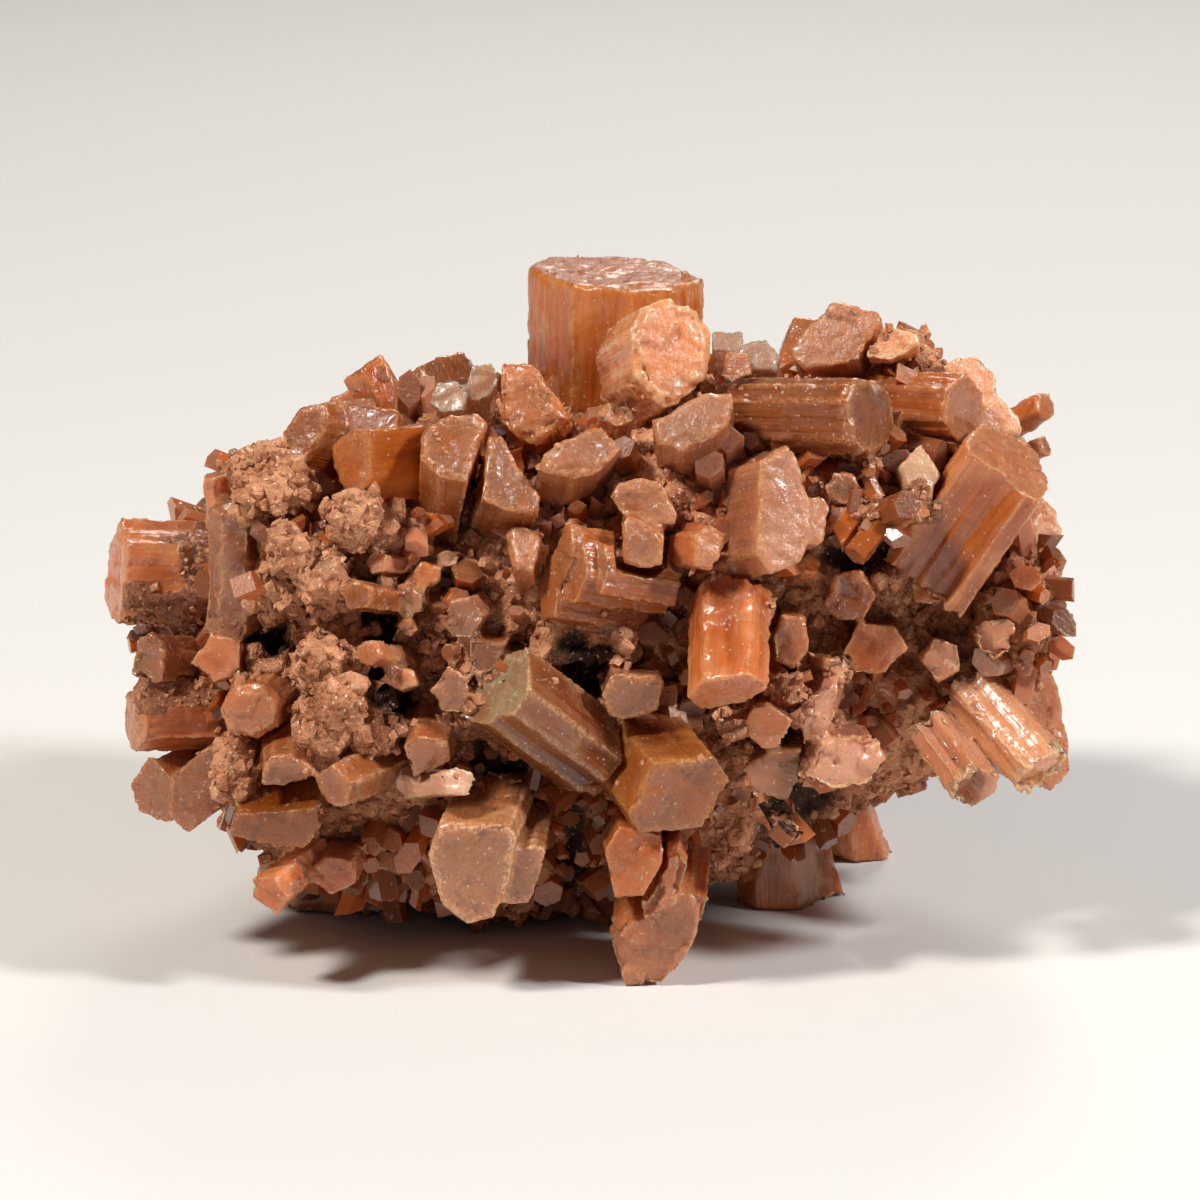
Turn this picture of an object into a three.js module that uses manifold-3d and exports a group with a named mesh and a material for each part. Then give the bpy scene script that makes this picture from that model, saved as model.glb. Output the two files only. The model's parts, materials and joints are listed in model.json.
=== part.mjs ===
// Aragonite cluster: stubby six-sided crystals with flat ends, grown outwards from an earthy core.
// Millimetres. +X is to the right as the front is seen, +Y is away, +Z is up.
// The origin is on the ground below the middle of the cluster.
import * as THREE from "three";
import { mergeVertices } from "three/addons/utils/BufferGeometryUtils.js";
import { ImprovedNoise } from "three/addons/math/ImprovedNoise.js";
import Module from "manifold-3d";

const wasm = await Module();
wasm.setup();

// Driving dimensions of the whole cluster
const seamGap = 0.3; // clearance between neighbours
const coreMiddle = [0, 1, 20.5];
const coreHalfSize = [26.5, 14.5, 13.5];
const coreFullness = 2.7; // 2 is an ellipsoid, more is boxier
const coreSag = 1.25; // how much further the core reaches down than up
const coreTilt = 8; // degrees, the right end is the higher one
const coreLump = 2.6; // how far the earthy lumps stand out
const coreLumpSize = 7;
const coreDetail = 3;
const coreLumpFiner = 2.3; // the second, smaller lumps, as a share of the first ones' size
const rootDepth = 6; // how far a crystal goes on inside the core
const groundDepth = 20; // the block below the ground that cuts the feet flat
const groundWidth = 120;

// The small crystals that grow on the core wherever the named ones leave room
const smallSides = 5;
const smallLean = 0.25; // how unevenly they lean
const smallThin = [0.7, 1]; // thickness as a share of the width
const leanReach = 24; // how far from the middle a small crystal leans out by 45 degrees
const crowdSpacing = 0.46; // least distance of two, as a share of their widths together
const leastShare = 0.96; // of a small crystal that has to be clear of the named ones
const backTried = 330;
const backWide = [3, 6];
const backStand = [1.2, 3.6];
const backRoot = 2.4; // how far those of the back go on inside the core
const backBearing = [-8, 188];
const backClimb = [-75, 80];

// The front is described as it is seen, from slightly above:
// u is millimetres to the right and v is millimetres up in that view.
const viewTilt = THREE.MathUtils.degToRad(15);
const viewDistance = 400;
const viewMiddle = [0.533, 25];
const viewTarget = new THREE.Vector3(0.533, 0, 20.8);
const right = new THREE.Vector3(1, 0, 0);
const away = new THREE.Vector3(0, Math.cos(viewTilt), -Math.sin(viewTilt));
const up = new THREE.Vector3(0, Math.sin(viewTilt), Math.cos(viewTilt));
const eye = viewTarget.clone().addScaledVector(away, -viewDistance);

// The crystals' ends lie near a flattened dome that faces the viewer
const dome = { halfWidth: 34, halfHeight: 26, depth: 19, u: 0, v: 21, boxiness: 3, rounding: 0.4 };
const domeLeast = 0.02; // keeps what is seen past the dome's edge on a real depth

function domeDepth(u, v) {
  const across = Math.abs((u - dome.u) / dome.halfWidth) ** dome.boxiness;
  const upward = Math.abs((v - dome.v) / dome.halfHeight) ** dome.boxiness;
  return dome.depth * Math.max(domeLeast, 1 - across - upward) ** dome.rounding;
}

function sightLine(u, v) {
  return away
    .clone()
    .addScaledVector(right, (u - viewMiddle[0]) / viewDistance)
    .addScaledVector(up, (v - viewMiddle[1]) / viewDistance);
}

// The point seen at u, v that stands out of the dome by a distance
function seenPoint(u, v, out) {
  const reach = viewDistance - domeDepth(u, v) - out;
  return eye.clone().addScaledVector(sightLine(u, v), reach);
}

// A closed prism from an outline in its own plane, its end at z = 0 and its root below
function prismGeometry(outline, length, rootScale, worn) {
  const rings = worn > 0 ? [offsetOutline(outline, -worn)] : [];
  const levels = worn > 0 ? [0] : [];
  rings.push(outline);
  levels.push(-worn);
  rings.push(outline.map((p) => p.clone().multiplyScalar(rootScale)));
  levels.push(-length);
  const count = outline.length;
  const positions = [];
  rings.forEach((ring, k) => ring.forEach((p) => positions.push(p.x, p.y, levels[k])));
  const index = [];
  const lastRing = (rings.length - 1) * count;
  for (const [a, b, c] of THREE.ShapeUtils.triangulateShape(rings[0], [])) {
    index.push(a, b, c);
  }
  for (const [a, b, c] of THREE.ShapeUtils.triangulateShape(rings.at(-1), [])) {
    index.push(lastRing + c, lastRing + b, lastRing + a);
  }
  for (let k = 0; k < rings.length - 1; k++) {
    for (let i = 0; i < count; i++) {
      const a = k * count + i;
      const b = k * count + ((i + 1) % count);
      index.push(a, a + count, b, b, a + count, b + count);
    }
  }
  const geometry = new THREE.BufferGeometry();
  geometry.setAttribute("position", new THREE.Float32BufferAttribute(positions, 3));
  geometry.setIndex(index);
  return geometry;
}

// Moves each side of a counterclockwise outline outwards, or inwards by a negative amount
function offsetOutline(outline, amount) {
  const count = outline.length;
  return outline.map((corner, i) => {
    const before = corner.clone().sub(outline[(i + count - 1) % count]).normalize();
    const after = outline[(i + 1) % count].clone().sub(corner).normalize();
    const normal = new THREE.Vector2(before.y + after.y, -before.x - after.x);
    const square = Math.max(1, normal.lengthSq());
    return corner.clone().addScaledVector(normal, (2 * amount) / square);
  });
}

function solidOf(geometry) {
  const bare = geometry.clone();
  bare.deleteAttribute("normal");
  bare.deleteAttribute("uv");
  const merged = mergeVertices(bare, 1e-4);
  return new wasm.Manifold(
    new wasm.Mesh({
      numProp: 3,
      vertProperties: Float32Array.from(merged.attributes.position.array),
      triVerts: Uint32Array.from(merged.index.array),
    }),
  );
}

// A crystal as its solid and as the slightly larger space that its neighbours keep clear
function crystalAt(outline, middle, axis, sideways, length, { root = 1, worn = 0 }) {
  const flat = THREE.ShapeUtils.isClockWise(outline) ? outline.toReversed() : outline;
  const basis = new THREE.Matrix4().makeBasis(sideways, axis.clone().cross(sideways), axis);
  const solid = prismGeometry(flat, length, root, worn);
  solid.applyMatrix4(basis.clone().setPosition(middle));
  const space = prismGeometry(offsetOutline(flat, seamGap), length + 2 * seamGap, root, 0);
  space.applyMatrix4(basis.setPosition(middle.clone().addScaledVector(axis, seamGap)));
  const wide = new THREE.Box2().setFromPoints(flat).getSize(new THREE.Vector2()).length();
  return { middle, wide, solid: solidOf(solid), space: solidOf(space) };
}

// A direction square to the axis, as near as it can be to a preferred one
function squareTo(axis, preferred) {
  const along = preferred.dot(axis);
  return preferred.clone().addScaledVector(axis, -along).normalize();
}

// The first side of a section, across the axis
function sidewaysOf(axis) {
  const mostlyAcross = Math.abs(axis.x) > 0.7;
  return squareTo(axis, mostlyAcross ? away : right);
}

// A way given as it is seen: to the right, up, and away from the viewer
function seenWay(way) {
  return new THREE.Vector3()
    .addScaledVector(right, way[0])
    .addScaledVector(up, way[1])
    .addScaledVector(away, way[2]);
}

// A crystal whose end face is seen with these corners. back is the seen way from the end
// to the root, and out is how far the end stands out of the dome.
function faced(corners, out, back, shape = {}) {
  const u = corners.reduce((sum, c) => sum + c[0], 0) / corners.length;
  const v = corners.reduce((sum, c) => sum + c[1], 0) / corners.length;
  const middle = seenPoint(u, v, out);
  const toRoot = seenWay(back);
  const axis = toRoot.clone().normalize().negate();
  const sideways = squareTo(axis, right);
  const other = axis.clone().cross(sideways);
  const outline = corners.map(([cu, cv]) => {
    const line = sightLine(cu, cv);
    const reach = middle.clone().sub(eye).dot(axis) / line.dot(axis);
    const offset = eye.clone().addScaledVector(line, reach).sub(middle);
    return new THREE.Vector2(offset.dot(sideways), offset.dot(other));
  });
  return crystalAt(outline, middle, axis, sideways, toRoot.length(), shape);
}

// Corners of a section that is flattened a little
function sectionOf([wide, thick, spin, sides = 6]) {
  return Array.from({ length: sides }, (_, i) => {
    const angle = (2 * Math.PI * i) / sides + THREE.MathUtils.degToRad(spin);
    return new THREE.Vector2((Math.cos(angle) * wide) / 2, (Math.sin(angle) * thick) / 2);
  });
}

// A crystal given by the middle of its end as it is seen, and its section
function column(tip, out, back, section, shape = {}) {
  const middle = seenPoint(tip[0], tip[1], out);
  const toRoot = seenWay(back);
  const axis = toRoot.clone().normalize().negate();
  return crystalAt(sectionOf(section), middle, axis, sidewaysOf(axis), toRoot.length(), shape);
}

const tiltMatrix = new THREE.Matrix4().makeRotationY(THREE.MathUtils.degToRad(-coreTilt));
const coreCentre = new THREE.Vector3(...coreMiddle);
const coreSize = new THREE.Vector3(...coreHalfSize);

// Moves a direction from the middle of the core to the core's surface before its lumps
function coreSurface(ray) {
  const [x, y, z] = ray.toArray().map((part) => Math.abs(part) ** coreFullness);
  ray.multiplyScalar((x + y + z) ** (-1 / coreFullness)).multiply(coreSize);
  ray.z *= ray.z < 0 ? coreSag : 1;
  return ray.applyMatrix4(tiltMatrix).add(coreCentre);
}

const noise = new ImprovedNoise();

function lumpAt(point) {
  const q = point.clone().divideScalar(coreLumpSize);
  const coarse = noise.noise(q.x, q.y, q.z);
  q.multiplyScalar(coreLumpFiner);
  const finer = noise.noise(q.x, q.y, q.z + coreLumpSize);
  return coreLump * (coarse + finer / 2);
}

// A crystal that stands out of the core. bearing turns from +X through +Y, climb is up.
function outward(bearing, climb, stand, section, lean = [0, 0, 0], root = rootDepth) {
  const b = THREE.MathUtils.degToRad(bearing);
  const c = THREE.MathUtils.degToRad(climb);
  const ray = new THREE.Vector3(Math.cos(c) * Math.cos(b), Math.cos(c) * Math.sin(b), Math.sin(c));
  const base = coreSurface(ray.clone());
  const axis = ray.clone().divide(coreSize).normalize().add(ray).applyMatrix4(tiltMatrix);
  axis.normalize().add(new THREE.Vector3(...lean)).normalize();
  const middle = base.clone().addScaledVector(axis, stand + lumpAt(base));
  return crystalAt(sectionOf(section), middle, axis, sidewaysOf(axis), stand + root, {});
}

// A crystal that stands on the ground at x, y and leans as it rises
function foot(x, y, rise, section, shape = {}) {
  const toRoot = new THREE.Vector3(...rise);
  const axis = toRoot.clone().normalize().negate();
  const belowGround = 1; // the end is cut off flat by the ground
  const middle = new THREE.Vector3(x, y, 0).addScaledVector(axis, belowGround);
  const sideways = squareTo(axis, right);
  return crystalAt(sectionOf(section), middle, axis, sideways, toRoot.length(), shape);
}

const leftEnd = {
  left_end_prism: [column([-31.8, 26.8], -1.5, [9.5, -0.3, 3], [7.4, 7.6, 30], { worn: 0.3 })],
  left_low_prism: [column([-30.6, 17.1], 0, [7, 0.2, 3], [4.8, 5, 20], { worn: 0.3 })],
  left_lit_prism: [
    faced(
      [
        [-25.1, 17.5], [-24.2, 19.2], [-22, 19.5], [-20.6, 18.3],
        [-20.9, 16.4], [-22.6, 15.5], [-24.4, 16],
      ],
      0.5,
      [1, 1.2, 7],
      { worn: 0.5 },
    ),
  ],
  left_corner_prism: [
    faced(
      [[-30.9, 12.6], [-29.6, 14.7], [-28.2, 13.3], [-27.4, 11], [-28.4, 9.9], [-30.3, 10.9]],
      -1,
      [3.5, 1.5, 6],
    ),
    faced(
      [[-28.2, 13.3], [-25.2, 15.6], [-24.6, 13.5], [-24.8, 11], [-27, 9.4], [-28.3, 10.6]],
      0,
      [1.5, 1.2, 7],
    ),
  ],
  left_brown_prism: [
    faced(
      [
        [-22.1, 12.5], [-21.9, 13.9], [-21.3, 14.5], [-20, 14.65],
        [-18.4, 13.8], [-19.3, 12.7], [-20.5, 12.4],
      ],
      1,
      [-0.5, 2.6, 6],
      { worn: 0.2 },
    ),
  ],
  left_orange_prism: [
    faced(
      [[-23.8, 10.8], [-20, 11], [-18.2, 11.2], [-18, 9.8], [-19.2, 8.3], [-22.5, 8.7], [-24.3, 9.3]],
      1,
      [0.3, 2.6, 7],
    ),
  ],
};

const upperLeft = {
  shoulder_prism: [
    faced(
      [
        [-20.9, 36.2], [-19.6, 37.9], [-17.9, 38.3], [-17.5, 37],
        [-18.3, 35.4], [-20, 33.3], [-20.8, 33.8],
      ],
      -1,
      [3, -0.5, 7],
      { worn: 0.3 },
    ),
    faced(
      [
        [-17.6, 38.2], [-17.3, 38.6], [-15.5, 38.2], [-12.9, 37.8],
        [-12.9, 36], [-16, 35.6], [-17.4, 36.5],
      ],
      -3,
      [1.5, -2, 7],
    ),
  ],
  amber_prism: [
    faced(
      [
        [-16, 36.4], [-17, 36], [-17.6, 35.3], [-17.5, 34], [-17.1, 32.9],
        [-16.3, 31.5], [-15.5, 31.4], [-15, 33.2], [-15, 36.4],
      ],
      0.5,
      [5.5, 0.7, 5.5],
      { worn: 0.3 },
    ),
  ],
  brown_prism: [
    faced(
      [
        [-11.4, 36.3], [-10.9, 36.9], [-9.3, 37.7], [-7.6, 37.6], [-6.9, 37],
        [-7.7, 35], [-8.2, 33], [-10.2, 33.4], [-11.5, 34.6],
      ],
      0.5,
      [-0.8, -4.6, 6],
      { root: 0.85, worn: 0.3 },
    ),
  ],
  wedge_prism: [
    faced(
      [[-6.9, 36.2], [-5.9, 36.1], [-4.8, 34], [-3.3, 32], [-3.4, 30.8], [-5.8, 31], [-7.4, 31.8]],
      0,
      [-1.3, -2.6, 7],
      { worn: 0.2 },
    ),
  ],
  golden_prism: [
    faced(
      [[-6, 41], [-4, 41], [-2.6, 39.3], [-1.3, 37.2], [-2, 36.4], [-3.8, 35.2], [-5, 35.8], [-6.3, 37]],
      -1,
      [0.3, -1.5, 7],
      { worn: 0.6 },
    ),
  ],
  glassy_prism: [
    faced(
      [[-11, 38.2], [-10.4, 39.6], [-9, 39.8], [-8.2, 38.9], [-8.6, 37.7], [-10, 37.4]],
      -2.5,
      [1, -2, 6],
    ),
    faced(
      [[-8.7, 39], [-8, 40.7], [-6.6, 40.9], [-6, 39.8], [-6.6, 38.7], [-7.8, 38.2]],
      -3,
      [-0.6, -2.4, 6],
    ),
    faced([[-6.4, 41.4], [-5.6, 42.7], [-4.4, 42.3], [-4.2, 41], [-5.5, 40.4]], -3.5, [-1, -2, 6]),
  ],
  rounded_prism: [
    faced(
      [[-5.9, 29.5], [-5, 31], [-3.8, 30.6], [-3.4, 29], [-4, 27], [-5.4, 27.2]],
      -1,
      [0.6, -2.6, 6],
      { root: 1.15, worn: 0.4 },
    ),
  ],
};

const top = {
  tall_prism: [
    faced(
      [
        [-4.3, 47.2], [-3, 48.1], [1.9, 48.1], [5, 47.7], [7.6, 46.4],
        [5.3, 45.85], [2.6, 45.7], [-1.3, 46.05], [-3.2, 46.7],
      ],
      -1.5,
      [-0.3, -13.5, 3.6],
      { worn: 0.2 },
    ),
  ],
  peach_prism: [
    faced(
      [
        [3.4, 44.7], [5.3, 45.35], [7.3, 44.4], [8.1, 43], [8.1, 41],
        [7.7, 39.5], [5.9, 38.1], [4.9, 37.8], [3, 39.8], [2.6, 43],
      ],
      1,
      [-2.4, -1.2, 8],
      { worn: 0.6 },
    ),
  ],
  grey_pink_prism: [
    faced(
      [
        [3.9, 37.2], [4.9, 37.5], [7.5, 39], [9.4, 39], [9.5, 38],
        [9.1, 36.8], [8.2, 36], [6, 34.95], [4.2, 35.5],
      ],
      0.6,
      [0.3, -2.8, 7],
      { worn: 0.3 },
    ),
  ],
  rough_pink_prism: [
    faced(
      [
        [-0.8, 36.4], [0.6, 36.85], [2.3, 35.3], [0.4, 33.6],
        [-1.2, 33.1], [-3.3, 33.7], [-3.4, 34.8], [-1.8, 35.9],
      ],
      0.6,
      [-0.9, -2.8, 7],
      { worn: 0.3 },
    ),
  ],
  clear_prism: [
    faced([[8, 41.6], [8, 43], [10.1, 43], [10.1, 41.6]], -3.5, [0.3, -3, 5]),
    faced(
      [[9.6, 41.2], [9.9, 42.2], [11.7, 42.5], [12.6, 41.4], [12.2, 39.8], [10, 40]],
      -2.5,
      [0, -2, 6],
    ),
  ],
  blunt_prism: [
    faced(
      [
        [10.6, 38.1], [10.7, 39.6], [11.2, 40.6], [12.8, 41],
        [14.4, 39.8], [14.5, 38.9], [13.7, 38.2], [11.3, 37.9],
      ],
      -0.5,
      [-0.4, -2, 6],
      { worn: 0.4 },
    ),
    faced([[8.4, 40], [8.9, 41.7], [10.4, 41.6], [10.8, 39.8], [9.8, 39]], -1.5, [0.8, -1.5, 6]),
  ],
  house_prism: [
    faced(
      [
        [13.1, 42], [14, 43], [15.9, 44.9], [16.4, 45], [19, 44.4],
        [19.4, 43.6], [18.2, 42], [17.8, 41], [14.2, 40.3], [13.4, 41],
      ],
      -0.5,
      [1, -2.4, 8],
      { worn: 0.2 },
    ),
  ],
  bright_prism: [
    faced(
      [[18, 41.9], [18.5, 43], [19.3, 43.5], [21.8, 42.8], [21.85, 42.1], [20, 41], [18.1, 41.2]],
      1,
      [0.5, -1.8, 8],
      { worn: 0.2 },
    ),
  ],
};

const upperRight = {
  long_prism: [
    faced(
      [
        [16.9, 38.3], [17.4, 39.5], [18.2, 39.9], [19.3, 39.8], [20.1, 39.1],
        [20.6, 36.5], [20.2, 35.4], [19.3, 34.7], [18.2, 34.6], [17.3, 35.5],
      ],
      1.5,
      [-8.5, 0.3, 6.5],
      { worn: 0.4 },
    ),
  ],
  ribbed_prism: [column([24.9, 37.8], 0.5, [-5.5, 0.5, 4], [5.4, 5.2, 30], { worn: 0.2 })],
  corner_prism: [
    faced(
      [[23.3, 40.6], [24.2, 41.2], [25.9, 41.3], [27, 39.9], [27.2, 38.6], [25.7, 38.1], [23.8, 38.8]],
      -0.5,
      [-1.5, -1.5, 7],
    ),
    faced(
      [[25.6, 37.6], [27.4, 38.5], [28.6, 37.3], [28.8, 36.1], [27.3, 35.6], [25.6, 36.2]],
      -1,
      [-2, -0.8, 7],
    ),
  ],
  grey_white_prism: [
    faced(
      [
        [20.4, 33.9], [21.5, 35.2], [22.1, 35.6], [22.7, 34.6],
        [23.4, 33.4], [22.6, 32], [21.3, 32.1], [20.8, 32.8],
      ],
      0.6,
      [-0.5, -1, 7],
      { worn: 0.2 },
    ),
  ],
  striated_prism: [
    faced(
      [
        [24.7, 35.6], [25.3, 34.9], [26.5, 34.1], [28, 33], [28.8, 32],
        [30, 31.5], [30.7, 32.4], [30, 34.8], [28.8, 36], [25.8, 37],
      ],
      3.5,
      [-5, -7.5, 4],
      { worn: 0.2 },
    ),
  ],
  right_lump_prism: [
    faced(
      [[29, 30.5], [30.4, 31.9], [31.2, 31], [31.8, 29.7], [30.9, 28.1], [30.2, 27.6], [29, 28.3]],
      -1.5,
      [-3, 0, 6],
      { worn: 0.5 },
    ),
  ],
};

const centre = {
  centre_prism: [
    faced(
      [[1.1, 31.9], [1.6, 32.9], [3.7, 33.3], [4.6, 33], [5.2, 31.9], [5.7, 30.7], [5.5, 30], [2, 30.6]],
      -0.8,
      [0, -0.8, 7],
      { worn: 0.2 },
    ),
    faced(
      [[1.9, 30], [2, 27.4], [3.8, 26.9], [4.7, 27.3], [4.9, 29.3], [3.4, 30.4], [2.3, 30.7]],
      0.8,
      [0, 0.8, 8],
      { worn: 0.3 },
    ),
  ],
  small_hex_prism: [
    faced(
      [[6.9, 29.4], [7.9, 30.2], [9.1, 29.3], [8.7, 27.8], [8, 26.9], [6.9, 27.2]],
      0.8,
      [-2.6, 0.3, 6],
      { worn: 0.2 },
    ),
  ],
  blade_prism: [
    faced(
      [
        [-1.3, 30.2], [-1.9, 30], [-3.2, 27.2], [-3.8, 26],
        [-3.6, 23.6], [-2.4, 23.8], [-2.2, 26], [-1.2, 28],
      ],
      -1.2,
      [6, -0.9, 3.6],
    ),
    faced(
      [[-1.5, 29.9], [-0.8, 29.8], [-0.4, 28.3], [-0.4, 26.6], [-1.2, 24.7], [-2, 25], [-1.6, 28.8]],
      0,
      [6, -0.9, 3.6],
    ),
    faced([[-0.1, 28.9], [0.9, 28.9], [1, 27], [0.5, 25.2], [-0.2, 25.4]], 0.6, [5, -0.8, 3]),
  ],
  block_prism: [
    faced(
      [
        [11.1, 34.3], [13.1, 35.5], [14, 34.3], [14.3, 32.5], [14.8, 31.6],
        [14.7, 28.9], [13.9, 27.4], [12, 26.7], [11, 28.2],
      ],
      1.6,
      [-2.8, -0.7, 8],
      { worn: 0.2 },
    ),
    faced(
      [[14.2, 31.8], [15.4, 32], [15.9, 31.1], [15.5, 29], [15, 28.4], [14, 29]],
      0.9,
      [-2.6, -0.7, 8],
    ),
  ],
  green_prism: [
    faced(
      [
        [-4.35, 22], [-4.15, 19], [-5.3, 17.4], [-6.4, 17.35], [-7, 16.7],
        [-8.4, 16.95], [-7.8, 19], [-6.4, 20.2], [-5.2, 21.6],
      ],
      0.5,
      [6, -4.6, 4.6],
    ),
  ],
  right_block_prism: [
    faced(
      [[6.3, 18.3], [7.4, 19.6], [10.5, 19.9], [11.9, 19], [10, 17.9], [7.3, 17.5]],
      1.4,
      [0.2, 6.4, 4.6],
      { root: 1.04, worn: 0.2 },
    ),
  ],
  small_low_prism: [
    faced(
      [
        [0.6, 18.6], [1.3, 20.1], [4.6, 20], [4.9, 19.5],
        [4.4, 17.6], [2.8, 16.95], [1.6, 16.9], [1, 17.3],
      ],
      -1.2,
      [-0.2, 0.8, 6],
      { worn: 0.2 },
    ),
    faced(
      [[3.4, 21.8], [4.1, 22.4], [5.4, 22.3], [5.8, 21.7], [4.6, 20.3], [3.6, 20.4]],
      -1.6,
      [-0.4, 1.2, 6],
    ),
  ],
};

const lowerFront = {
  hexagon_prism: [
    faced(
      [[4.1, 14.1], [8.3, 14.6], [9.35, 13], [7.7, 10], [7.4, 9.6], [3.1, 9.3], [2.4, 10.7]],
      1.8,
      [-2.6, 3, 9],
      { worn: 0.2 },
    ),
  ],
  orange_low_prism: [
    faced([[0.8, 8.3], [1.8, 10], [4.8, 9.3], [4.7, 7.4], [3.5, 5.2], [1.5, 5]], -0.8, [-0.2, 1, 7]),
  ],
  front_foot_prism: [
    faced([[3, 5.4], [4.2, 7.6], [5.9, 8.1], [6.5, 7.2], [5.6, 4.6], [3.4, 3.6]], -1, [0.2, 1.6, 7]),
    faced(
      [
        [3.9, 3.9], [6, 5.6], [7.9, 5], [7.2, 3], [6.3, 1.1],
        [4.7, -0.8], [2.2, -1.4], [1, 2.4], [2, 3.4],
      ],
      -1.6,
      [0.4, 3.2, 8],
      { worn: 0.2 },
    ),
  ],
  big_peach_prism: [
    faced(
      [
        [-11.1, 7.9], [-10.3, 10.1], [-5.4, 10], [-5, 9],
        [-5.6, 5.6], [-6.6, 3.6], [-8.4, 3.2], [-10.1, 4.6],
      ],
      1,
      [1.2, 2.8, 8],
      { worn: 0.3 },
    ),
    faced([[-5.4, 8.2], [-4, 8.7], [-3, 8.4], [-3.5, 6.3], [-4.2, 4.6], [-5.8, 4.6]], 0.2, [0.4, 2.4, 8]),
  ],
  low_brown_prism: [
    faced(
      [[-12.6, 15.2], [-11.9, 16.05], [-9.6, 15.5], [-9.3, 14.2], [-11.9, 12.9], [-12.4, 14.4]],
      0,
      [0.5, 2.6, 7],
      { worn: 0.2 },
    ),
  ],
  white_cap_prism: [
    faced(
      [[-10.05, 13.5], [-9.1, 14], [-7.9, 13.5], [-7.75, 13.1], [-8, 11.95], [-9.6, 12]],
      1,
      [-3, -0.5, 5],
    ),
  ],
};

const lowerRight = {
  rough_face_prism: [
    faced(
      [[14.3, 13.1], [15.3, 15.9], [19.4, 15.8], [19.7, 14.3], [18.7, 12.7], [16.2, 12.2]],
      0,
      [-0.9, 0.8, 7],
      { worn: 0.3 },
    ),
    faced(
      [[13.7, 17.8], [15.7, 19.4], [16.4, 19.6], [16.2, 17], [15.4, 15.6], [14, 15.6]],
      -1,
      [0.8, 1.2, 6],
    ),
  ],
  pale_right_prism: [
    faced(
      [[25.3, 23], [26, 23.7], [27.5, 23.9], [28.4, 23.4], [27.9, 21.5], [26.9, 20.7], [25.8, 21.5]],
      -1.5,
      [-0.6, 0.4, 6],
    ),
    faced(
      [[25.5, 24.6], [25.9, 25.8], [27.4, 26], [28.4, 25.2], [28.2, 23.8], [26.5, 23.6]],
      -2.2,
      [-0.8, 0.2, 6],
    ),
  ],
  right_lower_slab: [
    faced(
      [
        [29.3, 20.2], [30.8, 20.3], [31.3, 18.5], [31.9, 14.9],
        [31.9, 13.5], [30.6, 12.2], [29.4, 13.5], [28.9, 17],
      ],
      -3,
      [-3, 0.8, 7],
    ),
  ],
  fluted_prism: [column([30.2, 13.4], 2, [-4.6, 5.4, 4], [5, 4.4, 10], { worn: 0.2 })],
  fluted_small_prism: [column([25.7, 12.4], 0.5, [-2.8, 4, 4], [4, 3.6, 20], { worn: 0.2 })],
};

// What carries the cluster, below and behind
const feet = {
  left_foot_prism: [
    foot(-18, -1.5, [1.5, 1, 13], [6.4, 5.4, 10]),
    foot(-21, 0.6, [3, 1, 13], [4, 3.4, 0]),
  ],
  right_foot_prism: [
    foot(12.5, -1, [-1.5, 1, 13], [5.6, 5, 0]),
    foot(15.4, 0.8, [-3.5, 1, 13], [3.6, 3.2, 20]),
  ],
  back_right_foot_prism: [
    foot(14.5, 11.5, [-2, -3, 16], [7, 6, 10]),
    foot(18.6, 9.4, [-5, -4, 14], [4.4, 3.8, 35]),
  ],
  back_left_foot_prism: [
    foot(-8, 13.6, [1.5, -3, 12], [8, 7, 15]),
    foot(-13, 12, [3, -4, 12], [4.6, 4, 0]),
  ],
};

// The back, the top behind the tall crystal, the ends and the underside
const back = {
  back_middle_prism: [outward(92, 8, 5, [10, 9, 12]), outward(104, -4, 3.5, [6, 5, 40])],
  back_upper_prism: [outward(80, 38, 5, [8, 7.4, 20]), outward(70, 52, 3.5, [5, 4.6, 0])],
  back_left_prism: [outward(128, 18, 5.5, [8.4, 8, 5]), outward(140, 32, 3.5, [4.8, 4.6, 30])],
  back_right_prism: [outward(58, 12, 5.5, [8, 7, 25])],
  back_low_left_prism: [outward(125, -18, 4.5, [7.4, 6.6, 10])],
  back_low_right_prism: [outward(70, -22, 4.5, [7, 6.4, 30])],
  back_shoulder_prism: [outward(112, 45, 4.5, [7, 6, 15], [-0.2, 0, 0.1])],
  back_left_end_prism: [outward(155, 8, 4.5, [7, 6.6, 20]), outward(165, 26, 3.5, [5, 4.6, 10])],
  back_right_end_prism: [outward(28, 6, 4, [7.4, 7, 10])],
  back_right_top_prism: [outward(48, 38, 4.5, [6.6, 6, 40]), outward(34, 28, 3.5, [4.6, 4.4, 10])],
};

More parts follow.
